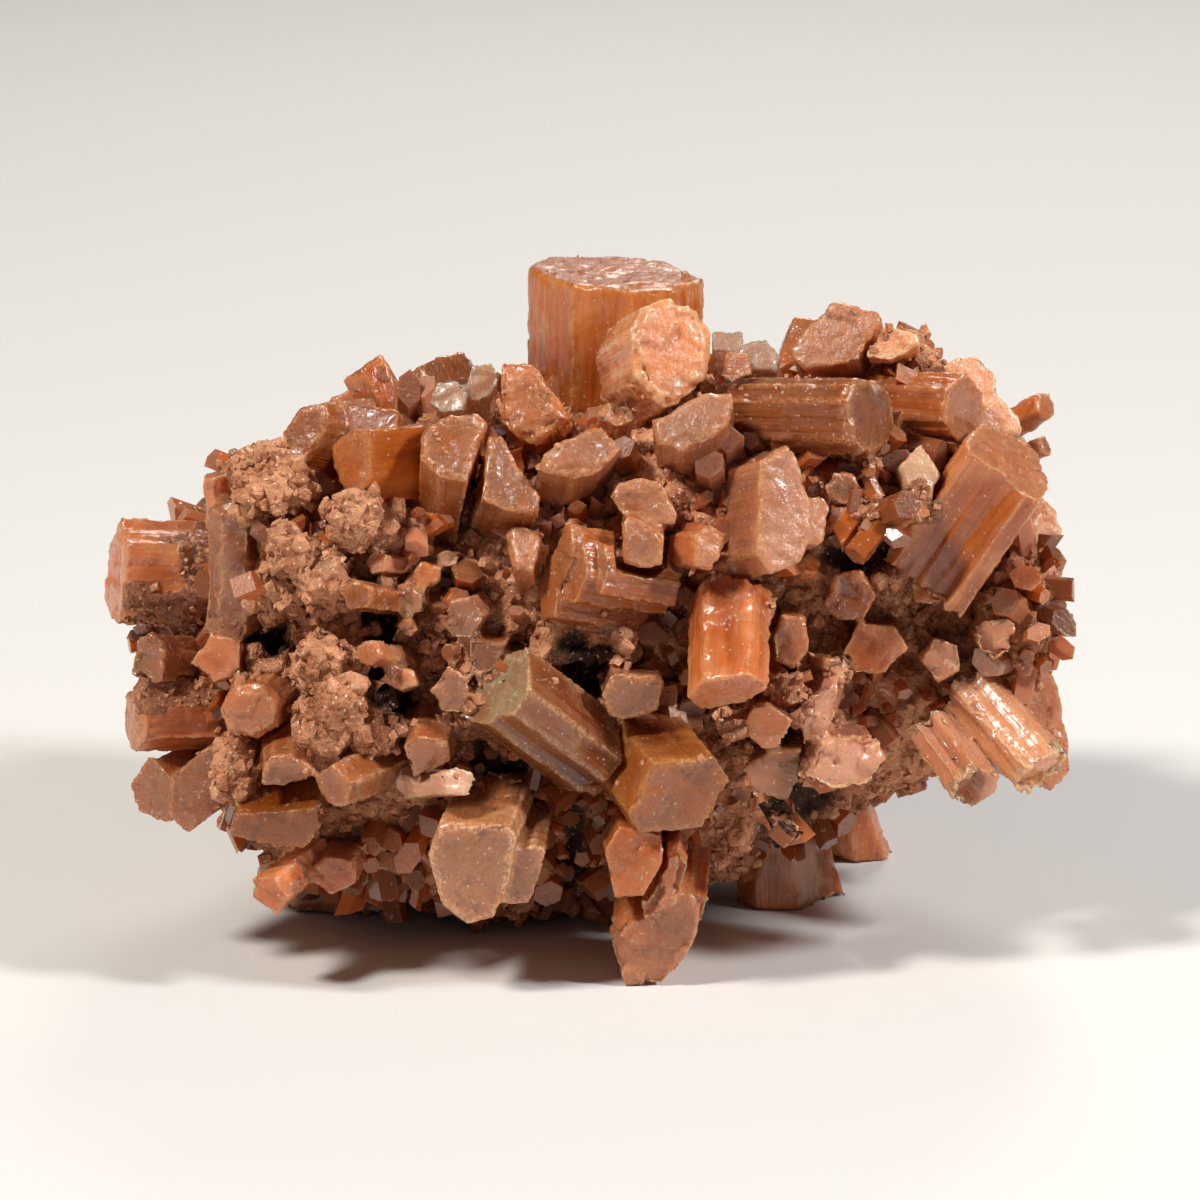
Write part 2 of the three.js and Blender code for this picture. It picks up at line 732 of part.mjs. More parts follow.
// Small crystals of the front that grow on the core
const smallFront = [
  faced(
    [[-15.9, 7.9], [-14.6, 8.4], [-11.5, 8.3], [-11.2, 7.5], [-12, 7], [-14.9, 6.7]],
    0,
    [0.5, 1.6, 6],
  ),
  faced(
    [[-13.5, 9.3], [-13.2, 10.7], [-11, 10.6], [-10.9, 9.3], [-11.8, 8.3], [-13, 8.2]],
    -1,
    [0.2, 0.6, 6],
  ),
  faced([[17.4, 31.4], [18.9, 31.8], [19.9, 31.2], [19.2, 29.7], [17.4, 29.5]], -0.5, [0, 1, 6]),
  faced(
    [[15.5, 32.6], [16.2, 33.6], [17.5, 33.4], [17.9, 32.2], [17.2, 31.3], [15.8, 31.5]],
    -1,
    [0.5, 0.2, 6],
  ),
  faced(
    [[10.1, 17], [10.6, 17.8], [11.8, 18.1], [13.6, 17], [12.5, 15], [11.3, 14.9], [10.3, 15.9]],
    -0.5,
    [0, 0.6, 6],
  ),
  column([-23.8, 31.2], -2, [-0.3, -8, 2.5], [3.7, 3.4, 0]),
  column([-25.1, 33.4], -2.5, [0.4, -6, 1.5], [2, 1.9, 20]),
  faced([[-8.3, 22.4], [-5.6, 22.3], [-6.3, 20.4], [-7.5, 19.5], [-8.3, 20.2]], -0.5, [0.6, 0.8, 6]),
  faced(
    [[-10.1, 23.4], [-9.6, 25], [-8, 25.3], [-7.2, 24], [-8, 22.4], [-9.4, 22.4]],
    -0.9,
    [1.2, 0.6, 6],
  ),
  faced(
    [[28.2, 27.4], [30.2, 27.3], [30.2, 23], [29.8, 22], [29.5, 20.5], [28.2, 20.6]],
    -2,
    [-2.6, 0.3, 7],
  ),
  column([-21.3, 33.6], -0.5, [1, -4, 4], [3.8, 3, 10]),
  faced(
    [[-30.9, 20], [-30.4, 22.4], [-29.2, 22.9], [-28.5, 21.6], [-28.6, 19.6], [-30, 19.2]],
    -0.5,
    [3.4, -0.3, 6],
  ),
  column([-24.9, 6.9], -2, [1.6, 4, 5], [2.8, 2.6, 0]),
  column([-25.9, 8.3], -1.5, [3, 2.2, 5], [2, 2, 0]),
  faced([[-3.2, 22], [-1.5, 23.8], [1, 23.9], [2.4, 22.8], [1.6, 21], [-1.4, 20.6]], -3, [0.4, 0.5, 6]),
  faced([[10, 13.8], [12, 14.9], [14, 15.2], [13.9, 13], [12.9, 11.6], [10.8, 12.3]], -2, [0.5, 1, 6]),
  faced(
    [[15.3, 24.6], [16.2, 26.7], [18, 26.9], [19, 25.2], [18.2, 23.6], [16.2, 23.5]],
    -4,
    [0.3, 0.8, 5],
  ),
  faced(
    [[16.5, 21.4], [17.6, 23.4], [20.2, 23.4], [21, 21.8], [19.6, 20], [17.4, 20]],
    -5,
    [0.3, 0.5, 5],
  ),
  faced([[-14, 29.6], [-12.9, 30.6], [-11.6, 29.9], [-11.7, 28.2], [-13.2, 27.8]], -3, [0.5, 0, 6]),
  faced(
    [[-12.1, 26.7], [-11.5, 27.6], [-10.4, 27.5], [-9.9, 26.6], [-10.5, 25.8], [-11.6, 25.8]],
    -2,
    [0, 0, 6],
  ),
  faced([[-10.5, 28], [-9.7, 28.6], [-8.8, 28.1], [-9, 27.3], [-10.1, 27.2]], -2, [0.5, -0.5, 6]),
  faced([[-12.9, 24.8], [-12, 25.9], [-11, 25.4], [-11.2, 24.2], [-12.2, 24]], -1.5, [0.5, 0, 6]),
  faced([[-13.3, 23.3], [-12.8, 23.9], [-12, 23.8], [-11.4, 23], [-12.2, 22.4]], -1.2, [0.4, 0, 6]),
  faced(
    [[-10.9, 19], [-9.6, 20.7], [-8.3, 19.8], [-8.1, 18.8], [-8.6, 17.4], [-10, 17.4]],
    -0.6,
    [0.6, 0.3, 6],
  ),
  faced([[-14.4, 19.6], [-13.4, 20.7], [-11.9, 20.4], [-11.5, 19.4], [-12.9, 18.8]], -1, [0.6, 0, 6]),
  faced([[-14.8, 18.6], [-13.4, 19], [-12.7, 17], [-13.4, 16], [-14.4, 16.2]], -1.6, [0.8, 0.2, 6]),
  faced([[-16.6, 14.1], [-14.2, 16.9], [-13.5, 16], [-14.9, 14.2]], -1, [0.4, 0.4, 6]),
  faced([[-15.6, 9.4], [-15, 10.1], [-14.3, 9.8], [-14.2, 8.8], [-15.2, 8.6]], -0.6, [0.5, 0.4, 6]),
  faced([[-17, 10.4], [-16.4, 11.2], [-15.5, 10.8], [-15.7, 9.7], [-16.6, 9.6]], -0.8, [0.5, 0.4, 6]),
  faced([[-14.6, 5.2], [-14.3, 6.2], [-11.2, 5.6], [-11, 4.6], [-13.6, 4.1]], -2.5, [0.5, 1.4, 6]),
  faced([[-19.2, 6.4], [-18, 8], [-15.8, 7.8], [-15.6, 6], [-17.4, 5.2]], -2, [0.5, 1.4, 6]),
  faced([[-27, 20.8], [-25.4, 23], [-23.4, 22.4], [-23.4, 20], [-25.2, 19.4]], -1.5, [1, 0, 6]),
  faced([[-25, 12.8], [-24.2, 14.8], [-23, 14.6], [-22.8, 12.6], [-24, 12]], -0.8, [0.6, 0.4, 6]),
  faced([[17.9, 33.6], [18.4, 34.3], [19, 34], [19, 33.3], [18.3, 33.1]], -0.5, [0, 0, 6]),
  faced(
    [[12, 22.4], [12.6, 24], [14.2, 23.8], [14.5, 21.6], [13.4, 20.4], [12.2, 20.8]],
    -2.4,
    [0, 0.6, 6],
  ),
  faced(
    [[21.2, 26.2], [22.2, 27.6], [24, 27.2], [24.4, 25.6], [23, 24.6], [21.6, 24.9]],
    -4,
    [0, 0.4, 6],
  ),
  faced([[21.8, 21], [22.8, 22.4], [24.4, 22], [24.6, 20.2], [23, 19.4]], -4, [0, 0.4, 6]),
  faced([[20.4, 17], [21.6, 18.4], [23.4, 18], [23.6, 16.2], [22, 15.4]], -2.6, [0, 0.6, 6]),
  faced([[20.4, 13.2], [21.4, 14.6], [23, 14.2], [23.4, 12.8], [21.8, 12]], -1.5, [0, 0.8, 6]),
  faced([[24, 16.4], [24.6, 19.4], [26.2, 19], [26.2, 15.8], [25, 15]], -1.5, [0.2, 0.6, 6]),
  faced([[6.5, 6.6], [7.4, 8.5], [9.2, 8.3], [10.3, 6.8], [9.4, 5.2], [7.4, 5.2]], -3, [0, 1.2, 6]),
  faced([[-2.9, 2.6], [-2, 4], [-0.6, 3.8], [-0.2, 2.6], [-1.4, 2]], -3, [0, 1.6, 6]),
  faced([[-1.2, 0.8], [-0.2, 2], [1.2, 1.8], [1.6, 0.6], [0.4, 0.3]], -3, [0.2, 1.8, 7]),
  faced([[16, 9.6], [17.4, 11], [19.6, 10.8], [20, 9.4], [18, 8.4]], -6, [0, 1.6, 7]),
];

// Earthy swellings and dips of the front, each seen at u, v, with how far it stands out
const swellings = [
  { at: [-18.8, 28], rise: 3.5, across: 4, upward: 5 },
  { at: [-18.5, 18], rise: 3.5, across: 3.5, upward: 6 },
  { at: [-26, 21], rise: 2, across: 4, upward: 6 },
  { at: [-15, 12.5], rise: 2, across: 4, upward: 3.5 },
  { at: [-21, 7], rise: 2.5, across: 5, upward: 4 },
  { at: [-7, 3], rise: 5, across: 10, upward: 5 },
  { at: [5, 3], rise: 5, across: 4, upward: 5 },
  { at: [-7, 26.5], rise: 1.5, across: 4, upward: 3.5 },
  { at: [22, 36], rise: 4, across: 7, upward: 5 },
  { at: [28, 20], rise: 1.5, across: 4, upward: 8 },
  { at: [19.8, 22], rise: -3, across: 5, upward: 4 },
];

// Narrow clefts, as half sizes across, up and deep
const clefts = [
  { at: [-14.4, 22.4], out: 0, half: [1.2, 5.4, 7] },
  { at: [-22, 23], out: -1, half: [1.6, 1.8, 6] },
  { at: [-0.8, 6.5], out: 0, half: [1.6, 4.2, 5] },
];

function cleft({ at, out, half }) {
  const geometry = new THREE.IcosahedronGeometry(1, 1);
  const basis = new THREE.Matrix4().makeBasis(right, up, away.clone().negate());
  geometry.scale(...half);
  geometry.applyMatrix4(basis.setPosition(seenPoint(at[0], at[1], out)));
  return solidOf(geometry);
}

// How far the front's swellings lift a point of the core that faces this way
function swellingAt(point, facing) {
  const line = point.clone().sub(eye);
  const reach = viewDistance / line.dot(away);
  const u = viewMiddle[0] + line.dot(right) * reach;
  const v = viewMiddle[1] + line.dot(up) * reach;
  const shown = THREE.MathUtils.smoothstep(-facing.dot(away), -0.4, 0.4);
  return swellings.reduce((sum, { at, rise, across, upward }) => {
    const far = ((u - at[0]) / across) ** 2 + ((v - at[1]) / upward) ** 2;
    return sum + shown * rise * Math.exp(-far);
  }, 0);
}

// The lumpy core, or the slightly larger space that it fills
function corePiece(clearance) {
  const geometry = new THREE.IcosahedronGeometry(1, coreDetail);
  const place = geometry.attributes.position;
  const point = new THREE.Vector3();
  for (let i = 0; i < place.count; i++) {
    point.fromBufferAttribute(place, i).normalize();
    const facing = point.clone().divide(coreSize).normalize().applyMatrix4(tiltMatrix);
    coreSurface(point);
    point.addScaledVector(facing, lumpAt(point) + swellingAt(point, facing) + clearance);
    place.setXYZ(i, point.x, point.y, point.z);
  }
  return solidOf(geometry);
}

function joined(solids) {
  return wasm.Manifold.union(solids);
}

// The largest body of a solid that a neighbour has cut
function mainBody(solid) {
  return solid.decompose().reduce((best, one) => (one.volume() > best.volume() ? one : best));
}

// The nearest crystals come first, and the later ones stop short of them and of the core
const ground = solidOf(
  new THREE.BoxGeometry(groundWidth, groundWidth, groundDepth).translate(0, 0, -groundDepth / 2),
);
const coreSpace = corePiece(seamGap);
const namedCrystals = {
  ...centre,
  ...lowerFront,
  ...upperRight,
  ...top,
  ...upperLeft,
  ...leftEnd,
  ...lowerRight,
  ...feet,
  ...back,
};
const taken = [];
const pieces = {};
for (const [name, crystals] of Object.entries(namedCrystals)) {
  const whole = joined(crystals.map((c) => c.solid));
  pieces[name] = mainBody(whole.subtract(joined([ground, coreSpace, ...taken])));
  taken.push(joined(crystals.map((c) => c.space)));
}
const allTaken = joined(taken);

// A repeatable source of scattered values
const seedFactor = 16807;
const seedLimit = 2147483647;
let seed = 7;
function scattered(low, high) {
  seed = (seed * seedFactor) % seedLimit;
  return low + ((high - low) * seed) / seedLimit;
}

const crowd = smallFront.map((c) => ({ ...c, solid: c.solid.subtract(allTaken) }));

// Adds a small crystal unless a named one or another small one is in its way
function growIfFree(crystal) {
  const tooNear = (c) => {
    const apart = c.middle.distanceTo(crystal.middle);
    return apart < crowdSpacing * (c.wide + crystal.wide);
  };
  if (crowd.some(tooNear)) {
    return;
  }
  const solid = crystal.solid.subtract(allTaken);
  if (solid.volume() > leastShare * crystal.solid.volume()) {
    crowd.push({ ...crystal, solid: mainBody(solid) });
  }
}

// Patches of the front as they are seen: middle, half size, how many crystals are tried,
// their width, and how far their ends stand out
const patches = [
  { at: [-18, 24.5], half: [4.5, 9], tried: 90, wide: [1.7, 3], out: [-1, 1.6] },
  { at: [-26.5, 18.5], half: [4.5, 5], tried: 50, wide: [2.2, 3.6], out: [-2, 0] },
  { at: [-16.5, 9], half: [8, 6.5], tried: 110, wide: [2, 3.6], out: [-0.6, 2] },
  { at: [-8, 23], half: [5, 8], tried: 60, wide: [1.6, 2.8], out: [-3, -0.6] },
  { at: [2, 20], half: [6, 5], tried: 40, wide: [1.5, 2.6], out: [-3, -1.4] },
  { at: [20, 23], half: [10, 6.5], tried: 150, wide: [1.4, 2.8], out: [-5, -2.4] },
  { at: [19, 14], half: [9.5, 5], tried: 90, wide: [1.8, 3.2], out: [-2.6, -0.4] },
  { at: [25, 35], half: [6, 5], tried: 60, wide: [1.8, 3], out: [-1, 0.8] },
  { at: [4, 34], half: [16, 7], tried: 90, wide: [1.8, 3], out: [-2.6, -0.6] },
  { at: [-1, 4], half: [13, 4], tried: 80, wide: [2, 3.4], out: [-1.6, 1.4] },
];
for (const { at, half, tried, wide, out } of patches) {
  for (let i = 0; i < tried; i++) {
    const u = at[0] + scattered(-half[0], half[0]);
    const v = at[1] + scattered(-half[1], half[1]);
    const lean = new THREE.Vector3((dome.u - u) / leanReach, (dome.v - v) / leanReach, 1);
    lean.x += scattered(-smallLean, smallLean);
    lean.y += scattered(-smallLean, smallLean);
    const toRoot = lean.setLength(rootDepth).toArray();
    const width = scattered(...wide);
    const section = [width, width * scattered(...smallThin), scattered(0, 60), smallSides];
    growIfFree(column([u, v], scattered(...out), toRoot, section));
  }
}

// The same on the back, the ends, the top and the underside
for (let i = 0; i < backTried; i++) {
  const width = scattered(...backWide);
  const section = [width, width * scattered(...smallThin), scattered(0, 60), smallSides];
  const lean = [scattered(-smallLean, smallLean), 0, scattered(-smallLean, smallLean)];
  const stand = scattered(...backStand);
  const bearing = scattered(...backBearing);
  growIfFree(outward(bearing, scattered(...backClimb), stand, section, lean, backRoot));
}

let core = corePiece(0).subtract(joined(clefts.map(cleft)));
core = joined([core, ...crowd.map((c) => c.solid)]);
pieces.earthy_core = mainBody(core.subtract(ground));

const colours = {
  tall_prism: 0xc06a3c,
  amber_prism: 0xb35a2a,
  peach_prism: 0xd98a60,
  green_prism: 0xa77a4e,
  grey_white_prism: 0xc8a898,
  clear_prism: 0xd8c8b8,
  bright_prism: 0xe0b090,
  earthy_core: 0x8f5236,
};
const crystalColour = 0xa85a3a;

const cluster = new THREE.Group();
for (const [name, solid] of Object.entries(pieces)) {
  const mesh = solid.getMesh();
  const geometry = new THREE.BufferGeometry();
  geometry.setAttribute("position", new THREE.BufferAttribute(mesh.vertProperties, 3));
  geometry.setIndex(new THREE.BufferAttribute(mesh.triVerts, 1));
  const material = new THREE.MeshStandardMaterial({
    color: colours[name] ?? crystalColour,
    roughness: name === "earthy_core" ? 0.9 : 0.45,
    metalness: 0,
    flatShading: true,
  });
  const piece = new THREE.Mesh(geometry, material);
  piece.name = name;
  cluster.add(piece);
}

// Centres the cluster over its origin
const reach = new THREE.Box3().setFromObject(cluster, true);
const middleOfAll = reach.getCenter(new THREE.Vector3());
cluster.position.set(-middleOfAll.x, -middleOfAll.y, -reach.min.z);

export default cluster;
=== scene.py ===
# Aragonite cluster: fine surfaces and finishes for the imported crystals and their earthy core
import json
import math

import bmesh
import bpy
import numpy as np
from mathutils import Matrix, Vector, kdtree
from mathutils.bvhtree import BVHTree


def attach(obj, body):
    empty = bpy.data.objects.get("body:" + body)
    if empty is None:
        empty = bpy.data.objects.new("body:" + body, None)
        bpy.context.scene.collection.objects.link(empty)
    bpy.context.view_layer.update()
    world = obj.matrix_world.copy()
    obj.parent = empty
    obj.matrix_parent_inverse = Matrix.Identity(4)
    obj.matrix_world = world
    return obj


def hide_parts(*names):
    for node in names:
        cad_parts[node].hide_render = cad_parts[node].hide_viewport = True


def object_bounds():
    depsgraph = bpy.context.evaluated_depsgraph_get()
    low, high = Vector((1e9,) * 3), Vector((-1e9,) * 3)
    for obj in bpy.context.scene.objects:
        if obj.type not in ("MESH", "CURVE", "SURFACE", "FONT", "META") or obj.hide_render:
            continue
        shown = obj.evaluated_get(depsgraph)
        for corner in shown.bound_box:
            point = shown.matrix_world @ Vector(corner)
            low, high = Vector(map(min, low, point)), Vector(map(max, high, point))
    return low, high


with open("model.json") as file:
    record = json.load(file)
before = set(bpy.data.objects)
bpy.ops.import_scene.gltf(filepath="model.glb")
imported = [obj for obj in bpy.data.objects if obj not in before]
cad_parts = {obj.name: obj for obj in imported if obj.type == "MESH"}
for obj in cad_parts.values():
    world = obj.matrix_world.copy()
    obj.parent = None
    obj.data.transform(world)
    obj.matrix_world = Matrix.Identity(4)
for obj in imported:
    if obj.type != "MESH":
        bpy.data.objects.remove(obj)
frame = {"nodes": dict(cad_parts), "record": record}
cadLow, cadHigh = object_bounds()
scene = bpy.context.scene
mm = 0.001
print("frame loaded")

# Camera and light

viewSettings = {
    "elevation": 15,  # degrees above the horizon
    "distance": 400,  # millimetres
    "target": (0.917, 1.378, 20.8),
    "lens": 180,
    "sensor": 36,
}

viewTilt = math.radians(viewSettings["elevation"])
viewRight = np.array((1.0, 0.0, 0.0))
viewAway = np.array((0.0, math.cos(viewTilt), -math.sin(viewTilt)))
viewUp = np.array((0.0, math.sin(viewTilt), math.cos(viewTilt)))
viewTarget = np.array(viewSettings["target"])
eye = viewTarget - viewSettings["distance"] * viewAway


def makeCamera():
    data = bpy.data.cameras.new("camera")
    data.lens = viewSettings["lens"]
    data.sensor_width = viewSettings["sensor"]
    data.clip_start = 0.01
    data.clip_end = 10
    camera = bpy.data.objects.new("camera", data)
    camera.location = Vector(eye * mm)
    camera.rotation_euler = Vector(viewAway).to_track_quat("-Z", "Y").to_euler()
    scene.collection.objects.link(camera)
    scene.camera = camera


lightSettings = {
    # name: place in millimetres, size, power, colour
    "key": ((-300, -230, 480), 90, 3.2, (1.0, 0.96, 0.9)),
    "side": ((400, -150, 330), 70, 2.3, (0.97, 0.98, 1.0)),
    "back": ((60, 420, 330), 160, 0.8, (1.0, 0.96, 0.9)),
}
studioSettings = {
    "aim": (0, 0, 22),  # where the lights point, in millimetres
    "airColour": (0.85, 0.88, 0.92, 1),
    "airStrength": 0.09,
    "floorColour": (0.73, 0.71, 0.68, 1),
    "floorRoughness": 0.85,
    "floorHalf": 3.0,  # metres
}


def makeLights():
    for name, (place, size, power, colour) in lightSettings.items():
        data = bpy.data.lights.new(name, "AREA")
        data.size = size * mm
        data.energy = power
        data.color = colour
        light = bpy.data.objects.new(name, data)
        light.location = Vector(place) * mm
        toCluster = Vector(studioSettings["aim"]) * mm - light.location
        light.rotation_euler = toCluster.to_track_quat("-Z", "Y").to_euler()
        scene.collection.objects.link(light)
    world = bpy.data.worlds.new("studio")
    world.use_nodes = True
    air = world.node_tree.nodes["Background"]
    air.inputs["Color"].default_value = studioSettings["airColour"]
    air.inputs["Strength"].default_value = studioSettings["airStrength"]
    scene.world = world
    scene.view_settings.view_transform = "Standard"


def makeFloor():
    half = studioSettings["floorHalf"]
    mesh = bpy.data.meshes.new("floor")
    corners = [(-half, -half, 0), (half, -half, 0), (half, half, 0), (-half, half, 0)]
    mesh.from_pydata(corners, [], [(0, 1, 2, 3)])
    floor = bpy.data.objects.new("floor", mesh)
    scene.collection.objects.link(floor)
    material = bpy.data.materials.new("paleFloor")
    material.use_nodes = True
    shader = material.node_tree.nodes["Principled BSDF"]
    shader.inputs["Base Color"].default_value = studioSettings["floorColour"]
    shader.inputs["Roughness"].default_value = studioSettings["floorRoughness"]
    mesh.materials.append(material)


makeCamera()
makeLights()
makeFloor()
print("camera, lights and floor made")

# Repeatable noise on arrays of points


# A value from -1 to 1 for each cell of a lattice, mixed by large primes
def latticeValues(cells, seed):
    x, y, z = (cells[..., i].astype(np.int64) for i in range(3))
    mixed = (x * 374761393 + y * 668265263 + z * 1442695041 + seed * 974634777) & 0xFFFFFFFF
    mixed = ((mixed ^ (mixed >> 13)) * 1274126177) & 0xFFFFFFFF
    mixed = ((mixed ^ (mixed >> 16)) * 668265263) & 0xFFFFFFFF
    return (mixed ^ (mixed >> 15)) / 2147483648.0 - 1.0


def noiseAt(points, seed, octaves=1):
    total = np.zeros(len(points))
    weight = 1.0
    for octave in range(octaves):
        scaled = points * 2.03**octave + 17.3 * octave
        cell = np.floor(scaled)
        part = scaled - cell
        blend = part * part * part * (part * (part * 6 - 15) + 10)
        for corner in range(8):
            step = np.array((corner & 1, corner >> 1 & 1, corner >> 2 & 1))
            share = np.prod(np.where(step, blend, 1 - blend), axis=1)
            total += weight * share * latticeValues(cell + step, seed + 31 * octave)
        weight *= 0.5
    return total


cellScatter = 0.42  # how far a cell's point strays from the middle of its square


# The own value of the nearest of scattered points in a plane
def cellsAt(flat, seed):
    base = np.floor(flat)
    nearest = np.full(len(flat), np.inf)
    value = np.zeros(len(flat))
    for dx in (-1, 0, 1):
        for dy in (-1, 0, 1):
            cell = np.column_stack((base + (dx, dy), np.zeros(len(flat))))
            strayed = np.column_stack((latticeValues(cell, seed), latticeValues(cell, seed + 5)))
            spot = cell[:, :2] + 0.5 + cellScatter * strayed
            far = np.linalg.norm(flat - spot, axis=1)
            closer = far < nearest
            value = np.where(closer, latticeValues(cell, seed + 9), value)
            nearest = np.where(closer, far, nearest)
    return value


# From 0 at low to 1 at high, smoothly
def rise(value, low, high):
    part = np.clip((value - low) / (high - low), 0, 1)
    return part * part * (3 - 2 * part)


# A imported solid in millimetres, with its corners merged
def cadSolid(name):
    bm = bmesh.new()
    bm.from_mesh(frame["nodes"][name].data)
    bmesh.ops.scale(bm, verts=bm.verts, vec=(1 / mm,) * 3)
    bmesh.ops.remove_doubles(bm, verts=bm.verts, dist=1e-4)
    bm.normal_update()
    return bm


def fineMesh(name, bm, voxel):
    mesh = bpy.data.meshes.new(name)
    bm.to_mesh(mesh)
    rough = bpy.data.objects.new(name + "Rough", mesh)
    scene.collection.objects.link(rough)
    remesh = rough.modifiers.new("remesh", "REMESH")
    remesh.mode = "VOXEL"
    remesh.voxel_size = voxel
    depsgraph = bpy.context.evaluated_depsgraph_get()
    fine = bpy.data.meshes.new_from_object(rough.evaluated_get(depsgraph))
    bpy.data.objects.remove(rough)
    bpy.data.meshes.remove(mesh)
    # back onto the flat faces, which keeps the edges crisp
    tree = BVHTree.FromBMesh(bm)
    flat = np.array([tree.find_nearest(p)[0] for p in pointsOf(fine)])
    fine.vertices.foreach_set("co", flat.ravel())
    fine.update()
    return fine


def pointsOf(mesh):
    points = np.empty(len(mesh.vertices) * 3)
    mesh.vertices.foreach_get("co", points)
    return points.reshape(-1, 3)


def normalsOf(mesh):
    normals = np.empty(len(mesh.vertices) * 3, np.float32)
    mesh.vertex_normals.foreach_get("vector", normals)
    return normals.reshape(-1, 3).astype(float)


edgeSettings = {
    "sharp": 0.45,  # faces that meet at more than this have an edge between them
    "step": 0.25,  # millimetres between the points that stand for an edge
    "none": 9.0,  # the distance where there is no edge at all
}


def edgeDistance(bm, points):
    spots = []
    for edge in bm.edges:
        if len(edge.link_faces) != 2 or not edge.is_convex:
            continue
        if edge.calc_face_angle(0) > edgeSettings["sharp"]:
            a, b = edge.verts[0].co, edge.verts[1].co
            count = max(2, int((b - a).length / edgeSettings["step"]))
            spots.extend(a.lerp(b, (i + 0.5) / count) for i in range(count))
    if not spots:
        return np.full(len(points), edgeSettings["none"])
    tree = kdtree.KDTree(len(spots))
    for i, spot in enumerate(spots):
        tree.insert(spot, i)
    tree.balance()
    return np.array([tree.find(p)[2] for p in points])


def storeFloat(mesh, name, values):
    attribute = mesh.attributes.new(name, "FLOAT", "POINT")
    attribute.data.foreach_set("value", values.astype(np.float32))


def storeVector(mesh, name, values):
    attribute = mesh.attributes.new(name, "FLOAT_VECTOR", "POINT")
    attribute.data.foreach_set("vector", values.astype(np.float32).ravel())


def placePiece(name, mesh, points, material, slot, *nodes):
    low, high = np.array(cadLow) / mm, np.array(cadHigh) / mm
    points = np.clip(points, low, high)
    mesh.vertices.foreach_set("co", (points * mm).ravel())
    mesh.polygons.foreach_set("use_smooth", np.ones(len(mesh.polygons), bool))
    mesh.materials.clear()
    mesh.materials.append(material)
    mesh.update()
    piece = bpy.data.objects.new(name, mesh)
    scene.collection.objects.link(piece)
    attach(piece, "root")
    if nodes:
        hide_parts(*nodes)
    return piece


# Materials


def addNode(tree, kind, inputs=None, **settings):
    node = tree.nodes.new(kind)
    for key, value in settings.items():
        setattr(node, key, value)
    for key, value in (inputs or {}).items():
        if isinstance(value, bpy.types.NodeSocket):
            tree.links.new(value, node.inputs[key])
        else:
            node.inputs[key].default_value = value
    return node


def attributeOf(tree, name, output="Fac"):
    return addNode(tree, "ShaderNodeAttribute", attribute_name=name).outputs[output]


def noiseNode(tree, vector, scale, detail=3.0, roughness=0.55):
    values = {"Vector": vector, "Scale": scale, "Detail": detail, "Roughness": roughness}
    return addNode(tree, "ShaderNodeTexNoise", values).outputs["Fac"]


def between(tree, value, low, high, lowOut=0.0, highOut=1.0):
    values = {"Value": value, "From Min": low, "From Max": high, "To Min": lowOut, "To Max": highOut}
    node = addNode(tree, "ShaderNodeMapRange", values, interpolation_type="SMOOTHSTEP")
    return node.outputs["Result"]


def mathNode(tree, operation, a, b):
    return addNode(tree, "ShaderNodeMath", {0: a, 1: b}, operation=operation).outputs["Value"]


def mixColour(tree, share, a, b, mode="MIX"):
    node = addNode(tree, "ShaderNodeMix", data_type="RGBA", blend_type=mode)
    for key, value in ((0, share), (6, a), (7, b)):
        if isinstance(value, bpy.types.NodeSocket):
            tree.links.new(value, node.inputs[key])
        else:
            node.inputs[key].default_value = value if key == 0 else (*value, 1)
    return node.outputs[2]


def stretched(tree, vector, scale):
    return addNode(tree, "ShaderNodeMapping", {"Vector": vector, "Scale": scale}).outputs["Vector"]


crystalFinishes = {
    "rust": {
        "deep": (0.27, 0.04, 0.006),
        "body": (0.55, 0.135, 0.023),
        "pale": (0.82, 0.38, 0.16),
        "end": (0.5, 0.19, 0.085),
        "glow": 1.0,  # millimetres that light spreads below the surface
        "clear": 0.3,  # share of the light that passes through
    },
    "amber": {
        "deep": (0.34, 0.05, 0.005),
        "body": (0.68, 0.175, 0.02),
        "pale": (0.9, 0.42, 0.12),
        "end": (0.52, 0.185, 0.078),
        "glow": 1.3,
        "clear": 0.5,
    },
    "peach": {
        "deep": (0.44, 0.11, 0.028),
        "body": (0.74, 0.27, 0.085),
        "pale": (0.94, 0.56, 0.32),
        "end": (0.64, 0.26, 0.13),
        "glow": 1.2,
        "clear": 0.2,
    },
    "glassy": {
        "deep": (0.42, 0.16, 0.05),
        "body": (0.7, 0.38, 0.18),
        "pale": (0.92, 0.8, 0.66),
        "end": (0.62, 0.4, 0.26),
        "glow": 1.0,
        "clear": 0.65,
    },
    "dull_cap": {
        "deep": (0.2, 0.032, 0.006),
        "body": (0.44, 0.105, 0.02),
        "pale": (0.72, 0.42, 0.2),
        "end": (0.62, 0.45, 0.24),
        "glow": 1.0,
        "clear": 0.2,
    },
}
earthColour = {
    # near black: painted shade for the deepest hollows of the core
    "paintedShadeColour": (0.018, 0.006, 0.003),
    "dark": (0.24, 0.07, 0.028),
    "mid": (0.5, 0.19, 0.08),
    "light": (0.7, 0.33, 0.17),
    "warm": (0.6, 0.3, 0.13),
    "bright": (0.85, 0.5, 0.3),
}
pinkGrey = (0.66, 0.38, 0.26)
hotOrange = (0.74, 0.18, 0.016)
# near white of the painted highlight on the glinting grains
paintedGlintColour = (0.95, 0.78, 0.62)

